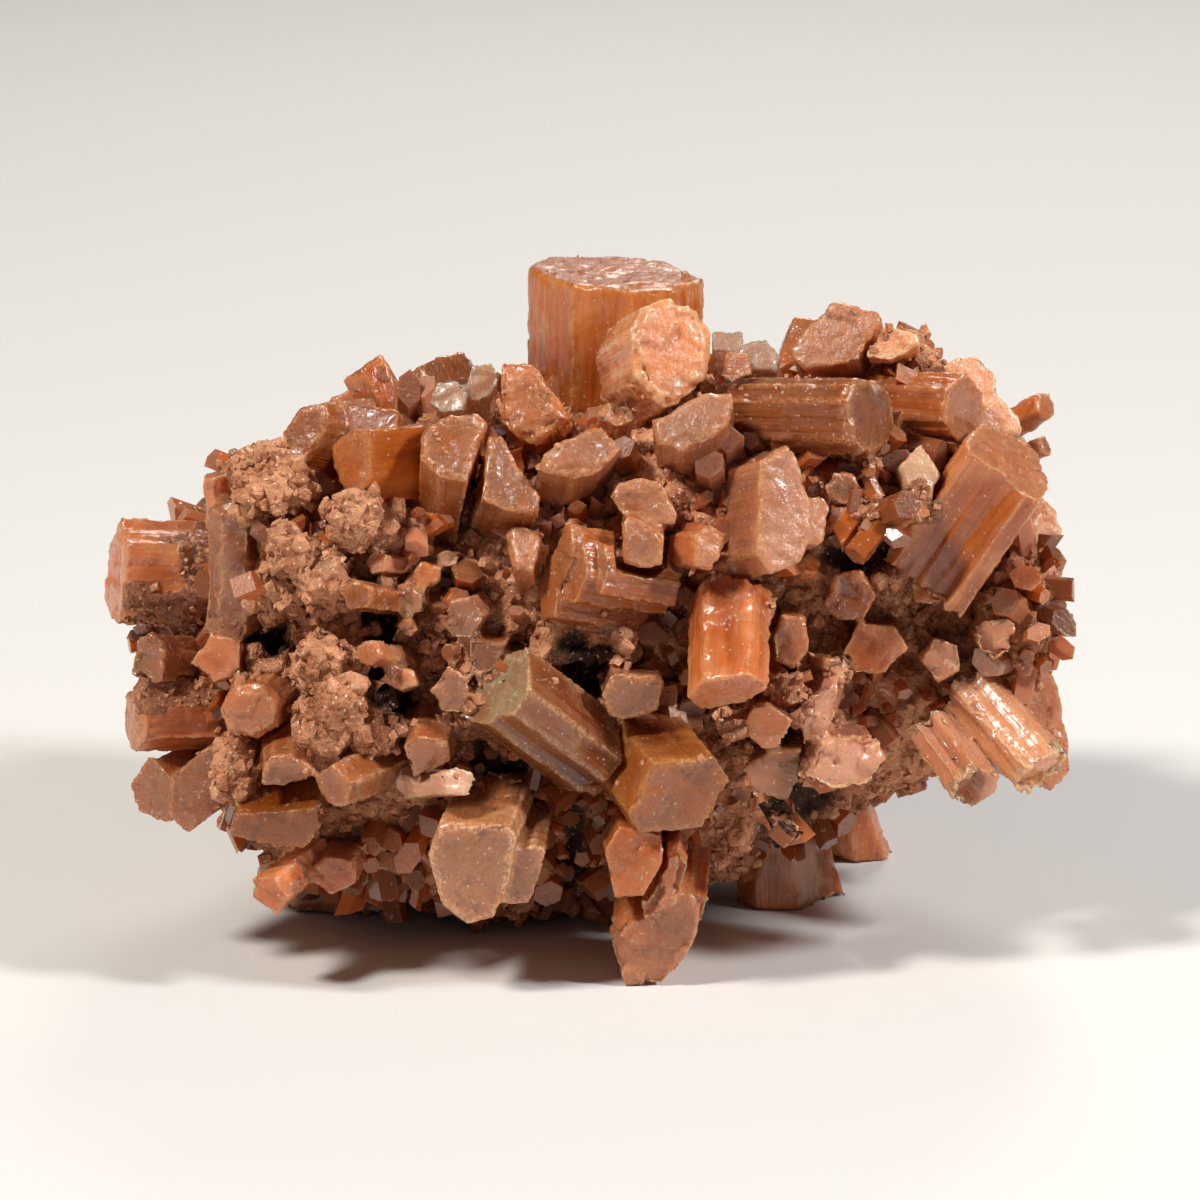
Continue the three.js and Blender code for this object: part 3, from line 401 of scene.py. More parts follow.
# Scales for a metre of Object coordinates, but for a millimetre in streak, fineStreak and cloud,
# which follow the crystal: across it twice, then along it
crystalPattern = {
    "grain": 4200.0,
    "blotch": 900.0,
    "streak": (0.8, 0.8, 0.06),
    "fineStreak": (4.0, 4.0, 0.2),
    "cloud": 0.4,
    "glint": 8000.0,
    "glintShare": 0.022,  # of the grains that catch the light
    "glintTurn": 0.35,  # how far these lean
}
earthPattern = {
    "grain": 3400.0,
    "blotch": 600.0,
    "patch": 170.0,
    "glint": 7000.0,
    "glintShare": 0.035,
    "glintTurn": 0.4,
}


# Tiny flat grains that catch the light, each turned its own way; the share picked is also handed back for a
# painted highlight
def glittering(tree, place, bump, pattern):
    cells = addNode(tree, "ShaderNodeTexVoronoi", {"Vector": place, "Scale": pattern["glint"]})
    colour = cells.outputs["Color"]
    off = addNode(tree, "ShaderNodeVectorMath", {0: colour, 1: (0.5, 0.5, 0.5)}, operation="SUBTRACT")
    bright = addNode(tree, "ShaderNodeSeparateColor", {"Color": colour}).outputs["Blue"]
    rarest = 1 - pattern["glintShare"]
    chosen = mathNode(tree, "MULTIPLY", between(tree, bright, rarest, rarest + 0.02), pattern["glintTurn"])
    turned = addNode(tree, "ShaderNodeVectorMath", {0: off.outputs[0], 3: chosen}, operation="SCALE")
    added = addNode(tree, "ShaderNodeVectorMath", {0: bump, 1: turned.outputs[0]}, operation="ADD")
    normal = addNode(tree, "ShaderNodeVectorMath", {0: added.outputs[0]}, operation="NORMALIZE")
    return normal.outputs[0], chosen


def crystalMaterial(slot, finish):
    material = bpy.data.materials.new(slot + "Crystal")
    material.use_nodes = True
    tree = material.node_tree
    shader = tree.nodes["Principled BSDF"]
    place = addNode(tree, "ShaderNodeTexCoord").outputs["Object"]
    grain = attributeOf(tree, "grain", "Vector")
    marks = ("toneAndShade", "tint", "cap", "coat", "dust", "rim", "down")
    toneAndShade, tint, cap, coat, dust, rim, down = (attributeOf(tree, mark) for mark in marks)
    pattern = crystalPattern
    streak = noiseNode(tree, stretched(tree, grain, pattern["streak"]), 1.0, 3.0, 0.6)
    fineStreak = noiseNode(tree, stretched(tree, grain, pattern["fineStreak"]), 1.0, 3.0, 0.65)
    cloud = noiseNode(tree, grain, pattern["cloud"], 3.0)
    speck = noiseNode(tree, place, pattern["grain"], 2.0, 0.8)
    blotch = noiseNode(tree, place, pattern["blotch"], 3.5, 0.7)

    # the clear orange sides, streaked along the crystal, with a painted glow that lightens them near the
    # thin edges, where light would shine through
    toned = mathNode(tree, "SUBTRACT", streak, mathNode(tree, "MULTIPLY", down, 0.22))
    colour = mixColour(tree, between(tree, toned, 0.16, 0.52), finish["deep"], finish["body"])
    colour = mixColour(tree, between(tree, cloud, 0.5, 0.75, 0, 0.4), colour, finish["pale"])
    thinEdgeGlow = mathNode(tree, "MULTIPLY", attributeOf(tree, "thinEdgeGlow"), between(tree, cloud, 0.3, 0.6, 0.05, 0.35))
    colour = mixColour(tree, thinEdgeGlow, colour, finish["pale"])
    onSide = mathNode(tree, "SUBTRACT", 1.0, cap)
    crack = mathNode(tree, "MULTIPLY", between(tree, fineStreak, 0.34, 0.46, 0.4, 0.0), onSide)
    colour = mixColour(tree, crack, colour, finish["deep"])
    # the duller grained ends, and the earthy dust that lies on the upper faces
    darkEnd = [0.8 * c for c in finish["end"]]
    grained = mixColour(tree, between(tree, blotch, 0.33, 0.52), darkEnd, finish["end"])
    grained = mixColour(tree, between(tree, speck, 0.5, 0.7, 0, 0.6), grained, finish["pale"])
    onEnd = mathNode(tree, "MULTIPLY", cap, between(tree, cloud, 0.35, 0.6, 0.4, 0.85))
    colour = mixColour(tree, onEnd, colour, grained)
    earth = mixColour(tree, between(tree, speck, 0.35, 0.6), earthColour["dark"], earthColour["mid"])
    earth = mixColour(tree, between(tree, blotch, 0.5, 0.75, 0, 0.6), earth, earthColour["light"])
    dusty = mathNode(tree, "MULTIPLY", dust, between(tree, blotch, 0.46, 0.62, 0.0, 0.6))
    colour = mixColour(tree, dusty, colour, earth)
    colour = mixColour(tree, between(tree, tint, 0.0, 1.0, 0.0, 0.6), colour, pinkGrey)
    colour = mixColour(tree, between(tree, tint, -1.0, 0.0, 0.6, 0.0), colour, hotOrange)
    light = between(tree, toneAndShade, -1.0, 1.0, 0.5, 1.5)
    lit = addNode(tree, "ShaderNodeCombineColor", {"Red": light, "Green": light, "Blue": light})
    colour = mixColour(tree, 1.0, colour, lit.outputs["Color"], "MULTIPLY")
    # pale rims: partly chipped edges, partly a painted highlight along the edges
    chipsAndRimHighlight = mathNode(tree, "MULTIPLY", rim, between(tree, speck, 0.42, 0.55, 0.05, 0.8))
    colour = mixColour(tree, chipsAndRimHighlight, colour, finish["pale"])
    crust = between(tree, mathNode(tree, "ADD", coat, mathNode(tree, "MULTIPLY", blotch, 0.7)), 0.72, 1.0)
    colour = mixColour(tree, crust, colour, earth)

    # the sides are smooth and glossy, the ends and the crust are grainy
    grainy = mathNode(tree, "MAXIMUM", mathNode(tree, "MULTIPLY", cap, 0.42), crust)
    grainy = mathNode(tree, "MAXIMUM", grainy, 0.12)
    height = mathNode(tree, "ADD", speck, mathNode(tree, "MULTIPLY", blotch, 1.2))
    height = mathNode(tree, "MULTIPLY", height, grainy)
    fluted = mathNode(tree, "MULTIPLY", mathNode(tree, "MULTIPLY", fineStreak, 0.6), onSide)
    height = mathNode(tree, "ADD", height, fluted)
    bump = addNode(tree, "ShaderNodeBump", {"Strength": 0.8, "Distance": 0.0002, "Height": height})
    normal, glint = glittering(tree, place, bump.outputs["Normal"], pattern)
    tree.links.new(normal, shader.inputs["Normal"])
    # painted highlight: the grains picked to glint are also painted near white in the base colour
    colour = mixColour(tree, mathNode(tree, "MULTIPLY", glint, 1.6), colour, paintedGlintColour)
    tree.links.new(colour, shader.inputs["Base Color"])
    rough = between(tree, blotch, 0.35, 0.7, 0.1, 0.26)
    rough = mathNode(tree, "ADD", rough, mathNode(tree, "MULTIPLY", cap, 0.16))
    rough = mathNode(tree, "ADD", rough, mathNode(tree, "MULTIPLY", crust, 0.5))
    rough = mathNode(tree, "SUBTRACT", rough, mathNode(tree, "MULTIPLY", glint, 1.0))
    tree.links.new(mathNode(tree, "MAXIMUM", rough, 0.07), shader.inputs["Roughness"])
    shader.inputs["Subsurface Weight"].default_value = 0.6
    shader.inputs["Subsurface Radius"].default_value = (1.0, 0.5, 0.28)
    shader.inputs["Subsurface Scale"].default_value = finish["glow"] * mm
    shader.inputs["Transmission Weight"].default_value = finish["clear"]
    shader.inputs["IOR"].default_value = 1.53
    shader.inputs["Coat Weight"].default_value = 0.25
    shader.inputs["Coat Roughness"].default_value = 0.1
    return material


def earthMaterial():
    material = bpy.data.materials.new("earthyCrust")
    material.use_nodes = True
    tree = material.node_tree
    shader = tree.nodes["Principled BSDF"]
    place = addNode(tree, "ShaderNodeTexCoord").outputs["Object"]
    toneAndShade = attributeOf(tree, "toneAndShade")
    pattern = earthPattern
    speck = noiseNode(tree, place, pattern["grain"], 2.0, 0.7)
    blotch = noiseNode(tree, place, pattern["blotch"], 3.0, 0.6)
    patch = noiseNode(tree, place, pattern["patch"], 3.0, 0.6)
    colour = mixColour(tree, between(tree, speck, 0.3, 0.62), earthColour["dark"], earthColour["mid"])
    toned = mathNode(tree, "ADD", blotch, mathNode(tree, "MULTIPLY", toneAndShade, 0.14))
    colour = mixColour(tree, between(tree, toned, 0.34, 0.6, 0, 0.9), colour, earthColour["light"])
    colour = mixColour(tree, between(tree, patch, 0.55, 0.75, 0, 0.45), colour, earthColour["warm"])
    colour = mixColour(tree, between(tree, speck, 0.66, 0.8, 0, 0.5), colour, earthColour["bright"])
    # painted shade: where the tone falls low, mostly in the core's hollows, the crust is painted near black
    colour = mixColour(tree, between(tree, toneAndShade, -2.2, -0.8, 0.9, 0.0), colour, earthColour["paintedShadeColour"])
    height = mathNode(tree, "ADD", speck, blotch)
    bump = addNode(tree, "ShaderNodeBump", {"Strength": 1.0, "Distance": 0.0003, "Height": height})
    normal, glint = glittering(tree, place, bump.outputs["Normal"], pattern)
    tree.links.new(normal, shader.inputs["Normal"])
    # painted highlight: the grains picked to glint are also painted near white in the base colour
    colour = mixColour(tree, mathNode(tree, "MULTIPLY", glint, 1.5), colour, paintedGlintColour)
    tree.links.new(colour, shader.inputs["Base Color"])
    rough = mathNode(tree, "SUBTRACT", 0.85, mathNode(tree, "MULTIPLY", glint, 1.5))
    tree.links.new(rough, shader.inputs["Roughness"])
    return material


crystalMaterials = {slot: crystalMaterial(slot, finish) for slot, finish in crystalFinishes.items()}
crust = earthMaterial()
slotOf = {row["node"]: row["material_slot"] for row in frame["record"]["subparts"]}
print("materials made")

# Crystals

# The way from each front crystal's end to its root as the camera sees it: right, up, away
rootWays = {
    "left_end_prism": (9.5, -0.3, 3),
    "left_low_prism": (7, 0.2, 3),
    "left_lit_prism": (1, 1.2, 7),
    "left_corner_prism": (2.5, 1.4, 6.5),
    "left_brown_prism": (-0.5, 2.6, 6),
    "left_orange_prism": (0.3, 2.6, 7),
    "shoulder_prism": (3, -0.5, 7),
    "amber_prism": (5.5, 0.7, 5.5),
    "brown_prism": (-0.8, -4.6, 6),
    "wedge_prism": (-1.3, -2.6, 7),
    "golden_prism": (0.3, -1.5, 7),
    "glassy_prism": (1, -2, 6),
    "rounded_prism": (0.6, -2.6, 6),
    "tall_prism": (-0.3, -13.5, 3.6),
    "peach_prism": (-2.4, -1.2, 8),
    "grey_pink_prism": (0.3, -2.8, 7),
    "rough_pink_prism": (-0.9, -2.8, 7),
    "clear_prism": (0.3, -3, 5),
    "blunt_prism": (-0.4, -2, 6),
    "house_prism": (1, -2.4, 8),
    "bright_prism": (0.5, -1.8, 8),
    "long_prism": (-8.5, 0.3, 6.5),
    "ribbed_prism": (-5.5, 0.5, 4),
    "corner_prism": (-1.5, -1.5, 7),
    "grey_white_prism": (-0.5, -1, 7),
    "striated_prism": (-5, -7.5, 4),
    "right_lump_prism": (-3, 0, 6),
    "centre_prism": (0, 0, 7),
    "small_hex_prism": (-2.6, 0.3, 6),
    "blade_prism": (6, -0.9, 3.6),
    "block_prism": (-2.8, -0.7, 8),
    "green_prism": (6, -4.6, 4.6),
    "right_block_prism": (0.2, 6.4, 4.6),
    "small_low_prism": (-0.2, 0.8, 6),
    "hexagon_prism": (-2.6, 3, 9),
    "orange_low_prism": (-0.2, 1, 7),
    "front_foot_prism": (0.4, 3.2, 8),
    "big_peach_prism": (1.2, 2.8, 8),
    "low_brown_prism": (0.5, 2.6, 7),
    "white_cap_prism": (-3, -0.5, 5),
    "rough_face_prism": (-0.9, 0.8, 7),
    "pale_right_prism": (-0.6, 0.4, 6),
    "right_lower_slab": (-3, 0.8, 7),
    "fluted_prism": (-4.6, 5.4, 4),
    "fluted_small_prism": (-2.8, 4, 4),
}

crystalRelief = {
    "voxel": 0.22,
    "backVoxel": 0.33,
    "warp": 0.06,  # slow unevenness of the faces
    "ribWidth": 0.7,
    "ribDepth": 0.07,
    "columnWidth": 2.1,
    "columnDepth": 0.07,
    "stepDepth": 0.22,  # how far the grown-together columns end short on the cap
    "pitDepth": 0.1,
    "chipDepth": 0.18,
    "chipSize": 0.7,
    "crustDepth": 0.16,
    "crustReach": 1.5,
    "grit": 0.035,
    "sink": 0.55,  # how far the root is drawn into the core
    # sizes of the patterns, in millimetres
    "warpSize": 3.6,
    "ribLength": 11.0,
    "pitSize": 0.8,
    "crumbSize": 0.5,
    "crustSize": 1.8,
    "gritSize": 0.35,
    "patchSize": 2.2,
    # how far the marks reach from an edge, in millimetres
    "chipReach": 0.35,
    "rimReach": 0.24,
    "glowReach": 1.1,
}
strongerRelief = {
    "striated_prism": {"ribDepth": 0.3, "columnDepth": 0.24, "ribWidth": 0.9},
    "fluted_prism": {"ribDepth": 0.34, "columnDepth": 0.4, "stepDepth": 1.5, "chipDepth": 0.5},
    "fluted_small_prism": {"ribDepth": 0.3, "columnDepth": 0.4, "stepDepth": 1.2, "chipDepth": 0.4},
    "pale_right_prism": {"ribDepth": 0.2, "columnDepth": 0.4, "stepDepth": 0.9, "chipDepth": 0.4},
    "blade_prism": {"ribDepth": 0.2, "columnDepth": 0.24},
    "left_end_prism": {"ribDepth": 0.22, "columnDepth": 0.45, "pitDepth": 0.3, "crustReach": 4.0},
    "left_low_prism": {"ribDepth": 0.25, "columnDepth": 0.4, "crustReach": 3.0},
    "ribbed_prism": {"ribDepth": 0.3, "columnDepth": 0.2},
    "long_prism": {"ribDepth": 0.22},
    "peach_prism": {"pitDepth": 0.25, "stepDepth": 0.4, "chipDepth": 0.4},
    "tall_prism": {"ribDepth": 0.16, "columnWidth": 3.0},
    "golden_prism": {"warp": 0.3, "pitDepth": 0.4, "stepDepth": 0.5},
    "front_foot_prism": {"stepDepth": 0.5, "ribDepth": 0.16, "columnDepth": 0.16},
    "rough_face_prism": {"pitDepth": 0.35, "stepDepth": 0.5, "ribDepth": 0.25},
}
# How light each crystal is, and how pink (above zero) or orange (below zero)
crystalTints = {
    "left_end_prism": (1.0, 0.3),
    "left_low_prism": (0.4, 0.25),
    "left_lit_prism": (0.3, 0.1),
    "left_corner_prism": (-0.2, 0.1),
    "left_brown_prism": (-0.2, 0.0),
    "left_orange_prism": (-0.3, -0.4),
    "shoulder_prism": (-0.2, -0.1),
    "amber_prism": (0.15, -0.5),
    "brown_prism": (-0.3, 0.0),
    "wedge_prism": (-0.3, 0.2),
    "golden_prism": (0.1, -0.3),
    "glassy_prism": (0.5, 0.0),
    "rounded_prism": (0.0, 0.2),
    "tall_prism": (0.1, -0.15),
    "peach_prism": (0.3, 0.0),
    "grey_pink_prism": (-0.1, 0.45),
    "rough_pink_prism": (-0.1, 0.3),
    "clear_prism": (0.6, 0.6),
    "blunt_prism": (0.1, 0.2),
    "house_prism": (0.1, 0.3),
    "bright_prism": (0.8, 0.0),
    "long_prism": (-0.6, 0.0),
    "ribbed_prism": (0.2, 0.0),
    "corner_prism": (0.6, 0.4),
    "grey_white_prism": (0.4, 0.9),
    "striated_prism": (0.2, -0.15),
    "right_lump_prism": (0.5, 0.3),
    "centre_prism": (0.0, 0.3),
    "small_hex_prism": (0.3, 0.1),
    "blade_prism": (-0.2, -0.4),
    "block_prism": (0.2, 0.5),
    "green_prism": (-0.5, 0.0),
    "right_block_prism": (0.6, 0.0),
    "small_low_prism": (-0.5, 0.3),
    "hexagon_prism": (-0.1, 0.1),
    "orange_low_prism": (0.2, -0.5),
    "front_foot_prism": (0.3, 0.2),
    "big_peach_prism": (-0.3, 0.15),
    "low_brown_prism": (-0.2, 0.2),
    "white_cap_prism": (0.5, 1.0),
    "rough_face_prism": (0.6, 0.8),
    "pale_right_prism": (0.6, 0.4),
    "right_lower_slab": (0.3, 0.1),
    "fluted_prism": (0.2, 0.5),
    "fluted_small_prism": (0.2, 0.6),
}

# How fast tone and tint change from one crystal to the next, and how far where none is given
tonePace = 7.3
tintPace = 3.1
plainSpread = 0.3

coreBm = cadSolid("earthy_core")
coreTree = BVHTree.FromBMesh(coreBm)
coreMiddle = np.mean([v.co for v in coreBm.verts], axis=0)


def crystalAxis(name, middle):
    if name in rootWays:
        way = rootWays[name]
        axis = -(viewRight * way[0] + viewUp * way[1] + viewAway * way[2])
    elif "foot" in name:
        axis = np.array((0.0, 0.0, -1.0))
    else:
        axis = middle - coreMiddle
    return axis / np.linalg.norm(axis)


def squareAxes(axis):
    across = np.cross(axis, (0.3, 0.2, 0.93))
    across /= np.linalg.norm(across, axis=-1, keepdims=True)
    return across, np.cross(axis, across)


# Carves and marks the fine mesh of crystals. axis, middle, tone and tint are given for
# each point or once for all, and spread sets the patterns of one crystal off another's.
def carveCrystal(mesh, bm, relief, axis, middle, toneAndShade, tint, spread):
    points, normals = pointsOf(mesh), normalsOf(mesh)
    across, other = squareAxes(axis)
    off = points - middle
    local = np.column_stack([(off * way).sum(axis=1) for way in (across, other, axis)])
    shifted = local + np.reshape(spread, (-1, 1)) * (37.7, 19.3, 5.1)
    apart = points + np.reshape(spread, (-1, 1)) * (3.1, 5.3, 7.7)
    edge = edgeDistance(bm, points)
    nearest = [coreTree.find_nearest(p) for p in points]
    toCore = np.array([hit[3] for hit in nearest])
    inward = np.array([hit[0] for hit in nearest]) - points
    inward /= np.maximum(toCore, 1e-3)[:, None]
    alongAxis = (normals * axis).sum(axis=1)
    capShare = rise(alongAxis, 0.6, 0.85)
    sideShare = 1 - capShare

    slow = noiseAt(apart / relief["warpSize"], 1, 2)
    flute = noiseAt(shifted / (relief["ribWidth"], relief["ribWidth"], relief["ribLength"]), 2, 2)
    column = cellsAt(shifted[:, :2] / relief["columnWidth"], 3)
    pits = np.minimum(0, noiseAt(apart / relief["pitSize"], 4, 3) + 0.1)
    chips = rise(noiseAt(apart / relief["chipSize"], 5, 3), -0.1, 0.9)
    crumbs = noiseAt(apart / relief["crumbSize"], 6, 2)
    crustEdge = 1.1 * noiseAt(apart / relief["crustSize"], 7, 3)
    crustShare = rise(relief["crustReach"] - toCore + crustEdge, 0.2, 2.2)

    outward = relief["warp"] * slow + relief["grit"] * noiseAt(apart / relief["gritSize"], 8)
    outward -= sideShare * relief["ribDepth"] * np.abs(flute)
    outward -= sideShare * relief["columnDepth"] * (0.5 + 0.5 * column)
    outward += relief["pitDepth"] * pits * (0.25 + 0.75 * capShare)
    outward -= relief["chipDepth"] * chips * np.exp(-((edge / relief["chipReach"]) ** 2))
    outward += relief["crustDepth"] * crustShare * (0.5 + crumbs)
    short = capShare * relief["stepDepth"] * rise(column, -0.2, 0.05) * (0.6 + 0.4 * column)
    root = relief["sink"] * rise(0.9 - toCore, 0.0, 0.6)
    moved = points + normals * outward[:, None] - axis * short[:, None] + inward * root[:, None]

    storeVector(mesh, "grain", shifted)
    storeFloat(mesh, "down", rise(-local[:, 2], -4.0, 5.0))
    storeFloat(mesh, "toneAndShade", np.broadcast_to(toneAndShade, len(points)) + 0.2 * slow)
    storeFloat(mesh, "tint", np.broadcast_to(tint, len(points)) + 0.15 * slow)
    storeFloat(mesh, "cap", capShare)
    storeFloat(mesh, "coat", crustShare)
    dust = rise(normals[:, 2] + 0.4 * slow, 0.1, 0.9)
    patchy = rise(noiseAt(apart / relief["patchSize"], 9, 2), 0.2, 0.7)
    storeFloat(mesh, "dust", dust)
    storeFloat(mesh, "crumbShare", np.clip(0.8 * crustShare + 0.25 * dust * patchy, 0, 1))
    storeFloat(mesh, "rim", np.exp(-((edge / relief["rimReach"]) ** 2)))
    # painted glow: lighter near the edges, where light would shine through thin crystal
    storeFloat(mesh, "thinEdgeGlow", np.exp(-((edge / relief["glowReach"]) ** 2)))
    return moved


def dressCrystal(index, name):
    bm = cadSolid(name)
    relief = {**crystalRelief, **strongerRelief.get(name, {})}
    voxel = relief["voxel"] if name in rootWays else relief["backVoxel"]
    mesh = fineMesh(name, bm, voxel)
    middle = pointsOf(mesh).mean(axis=0)
    axis = crystalAxis(name, middle)
    plain = [plainSpread * math.sin(pace * index) for pace in (tonePace, tintPace)]
    toneAndShade, tint = crystalTints.get(name, plain)
    moved = carveCrystal(mesh, bm, relief, axis, middle, toneAndShade, tint, index)
    bm.free()
    slot = slotOf[name]
    placePiece(name + "_skin", mesh, moved, crystalMaterials[slot], slot, name)
    return mesh


crystalNames = sorted(name for name in frame["nodes"] if name != "earthy_core")
crystalMeshes = [dressCrystal(index, name) for index, name in enumerate(crystalNames)]
print("crystals dressed:", sum(len(mesh.polygons) for mesh in crystalMeshes), "faces")

# Hollows of the front, pressed in and darkened with painted shade, seen at u, v, with half sizes and depth
# in millimetres
hollows = (
    ((-22.2, 22.6), (2.4, 1.7), 2.6),
    ((-13.8, 21.8), (1.5, 5.6), 2.4),
    ((-0.8, 21.0), (1.8, 2.6), 2.0),
    ((8.8, 26.0), (2.2, 1.3), 2.0),
    ((18.2, 28.2), (3.0, 1.4), 2.5),
    ((-0.9, 8.5), (1.6, 3.4), 2.0),
    ((14.8, 10.2), (4.5, 2.2), 2.0),
    ((-6.5, 13.6), (2.6, 1.6), 1.6),
)
# Where the front is crumbly earth more than crystals, seen at u, v, with half sizes
ridge = ((-17.6, 25.0), (4.6, 9.0))
earthyPlaces = (
    ridge,
    ((-23.0, 33.0), (3.5, 3.5)),
    ((20.0, 24.5), (8.5, 4.5)),
    ((-9.0, 19.0), (3.5, 4.0)),
    ((12.5, 15.0), (4.5, 4.0)),
)
seenMiddle = (0.533, 25.0)  # u and v in the middle of the picture


# Where points are seen from the camera, in millimetres: u to the right, v up
def seenAt(points):
    line = points - eye
    reach = viewSettings["distance"] / (line @ viewAway)
    u = seenMiddle[0] + (line @ viewRight) * reach
    v = seenMiddle[1] + (line @ viewUp) * reach
    return u, v


# 1 inside a place of the front and 0 outside it, with a soft edge
def shareWithin(u, v, at, half):
    return np.exp(-(((u - at[0]) / half[0]) ** 4) - ((v - at[1]) / half[1]) ** 4)


def isOnRidge(point):
    u, v = seenAt(np.array([point]))
    return point[1] < 0 and shareWithin(u, v, *ridge)[0] > 0.5


# The small crystals that are one solid with the core

smallSettings = {
    "flat": 0.06,  # facets that meet at less than this angle are one face
    "sharp": 0.75,  # a crystal's faces meet at more than this
    "sharpShare": 0.45,  # of a face's outline that has to be sharp
    "fewestFaces": 6,
    "leastArea": 0.4,  # square millimetres that its faces together turn one way
    "rootDepth": 0.7,
    "fullest": 0.84,  # a crystal fills at least this much of its hull
    "rootTaper": 0.35,  # how much the root narrows
    "voxel": {"front": 0.22, "back": 0.34},
}
smallRelief = {
    **crystalRelief,
    "warp": 0.14,
    "columnWidth": 1.3,
    "columnDepth": 0.1,
    "stepDepth": 0.3,
    "chipDepth": 0.22,
    "chipSize": 0.6,
    "crustDepth": 0.1,
    "crustReach": 0.35,
    "sink": 0.0,
}


# Numbers the faces so that those which meet across an accepted edge share a number
def numberFaces(bm, accepted):
    number = {}
    count = 0
    for face in bm.faces:
        if face.index in number:
            continue
        number[face.index] = count
        queue = [face]
        while queue:
            current = queue.pop()
            for edge in current.edges:
                if not accepted(edge):
                    continue
                for near in edge.link_faces:
                    if near.index not in number:
                        number[near.index] = count
                        queue.append(near)
        count += 1
    return [number[i] for i in range(len(bm.faces))], count


def smallCrystalFaces(bm):
    flat, count = numberFaces(bm, lambda edge: edge.calc_face_angle(9) < smallSettings["flat"])
    outline = [0.0] * count
    sharp = [0.0] * count

    def isSharp(edge):
        return edge.is_convex and edge.calc_face_angle(0) > smallSettings["sharp"]

    for edge in bm.edges:
        sides = [flat[face.index] for face in edge.link_faces]
        if len(sides) == 2 and sides[0] != sides[1]:
            for side in sides:
                outline[side] += edge.calc_length()
                sharp[side] += edge.calc_length() if isSharp(edge) else 0
    onCrystal = [sharp[n] > smallSettings["sharpShare"] * outline[n] for n in flat]

    def joins(edge):
        if not all(onCrystal[face.index] for face in edge.link_faces):
            return False
        return edge.calc_face_angle(9) < smallSettings["flat"] or isSharp(edge)

    crystal, count = numberFaces(bm, joins)
    groups = [[] for _ in range(count)]
    for face in bm.faces:
        if onCrystal[face.index]:
            groups[crystal[face.index]].append(face)
    return [group for group in groups if len(group) >= smallSettings["fewestFaces"]]


# One closed solid from a small crystal's faces, with a root below its open side
def closedCrystal(faces):
    axis = sum((face.normal * face.calc_area() for face in faces), Vector())
    if axis.length < smallSettings["leastArea"]:
        return None, None
    axis.normalize()
    bm = bmesh.new()
    copies = {}
    for face in faces:
        for vert in face.verts:
            if vert.index not in copies:
                copies[vert.index] = bm.verts.new(vert.co)
        bm.faces.new([copies[vert.index] for vert in face.verts])
    rim = [edge for edge in bm.edges if len(edge.link_faces) == 1]
    made = bmesh.ops.extrude_edge_only(bm, edges=rim)["geom"]
    foot = [vert for vert in made if isinstance(vert, bmesh.types.BMVert)]
    if not foot:
        bm.free()
        return None, None
    drop = axis * smallSettings["rootDepth"]
    below = sum((vert.co for vert in foot), Vector()) / len(foot) - drop
    for vert in foot:
        vert.co = (vert.co - drop).lerp(below, smallSettings["rootTaper"])
    bmesh.ops.holes_fill(bm, edges=[edge for edge in bm.edges if len(edge.link_faces) == 1])
    bmesh.ops.triangulate(bm, faces=bm.faces)
    bmesh.ops.recalc_face_normals(bm, faces=bm.faces)
    hull = bmesh.new()
    for vert in bm.verts:
        hull.verts.new(vert.co)
    bmesh.ops.convex_hull(hull, input=hull.verts)
    broken = bm.calc_volume() < smallSettings["fullest"] * hull.calc_volume()
    hull.free()
    if broken or any(len(edge.link_faces) != 2 for edge in bm.edges):
        bm.free()
        return None, None
    return bm, np.array(axis)


def dressSmallCrystals():
    groups = smallCrystalFaces(coreBm)
    covered = np.zeros(len(coreBm.faces), bool)
    quarters = {}
    for number, faces in enumerate(groups):
        solid, axis = closedCrystal(faces)
        if solid is None:
            continue
        middle = np.mean([v.co for v in solid.verts], axis=0)
        if isOnRidge(middle):
            continue
        covered[[face.index for face in faces]] = True
        side = "left" if middle[0] < 0 else "right"
        depth = "front" if middle[1] < 0 else "back"
        quarter = quarters.setdefault(depth + "_" + side, {"bm": bmesh.new(), "owner": [], "rows": []})
        mesh = bpy.data.meshes.new("smallCrystal")
        solid.to_mesh(mesh)
        quarter["owner"] += [len(quarter["rows"])] * len(mesh.polygons)
        quarter["rows"].append((number, axis, middle))
        quarter["bm"].from_mesh(mesh)
        bpy.data.meshes.remove(mesh)
        solid.free()
    for name, quarter in sorted(quarters.items()):
        bm = quarter["bm"]
        mesh = fineMesh("small_crystals_" + name, bm, smallSettings["voxel"][name.split("_")[0]])
        tree = BVHTree.FromBMesh(bm)
        owner = np.array(quarter["owner"])[[tree.find_nearest(p)[2] for p in pointsOf(mesh)]]
        number, axis, middle = (np.array(column)[owner] for column in zip(*quarter["rows"]))
        toneAndShade = 0.05 + 0.5 * np.sin(tonePace * number)
        tint = 0.1 + 0.4 * np.sin(tintPace * number)
        moved = carveCrystal(mesh, bm, smallRelief, axis, middle, toneAndShade, tint, number)
        placePiece("small_crystals_" + name, mesh, moved, crystalMaterials["rust"], "rust", "earthy_core")
        print("small crystals", name, len(quarter["rows"]), "with", len(mesh.polygons), "faces")
    return covered


coreBm.faces.ensure_lookup_table()
covered = dressSmallCrystals()

# Earthy core

coreRelief = {
    "voxel": 0.43,
    "lump": 0.65,
    "lumpSize": 2.4,
    "knob": 0.8,
    "knobSize": 1.1,
    "crumb": 0.25,
    "crumbSize": 0.6,
    "drawBack": 0.45,  # where a small crystal covers it
    "filled": 0.5,  # how far it rises between the small crystals
    "ragged": 1.1,  # how uneven the rims of the hollows are
    "raggedSize": 1.7,
    "patchSize": 6.5,  # of the places with more crumbs
    "toneSize": 5,
    "hollowShade": 1.2,  # how much darker each millimetre of a hollow is
}


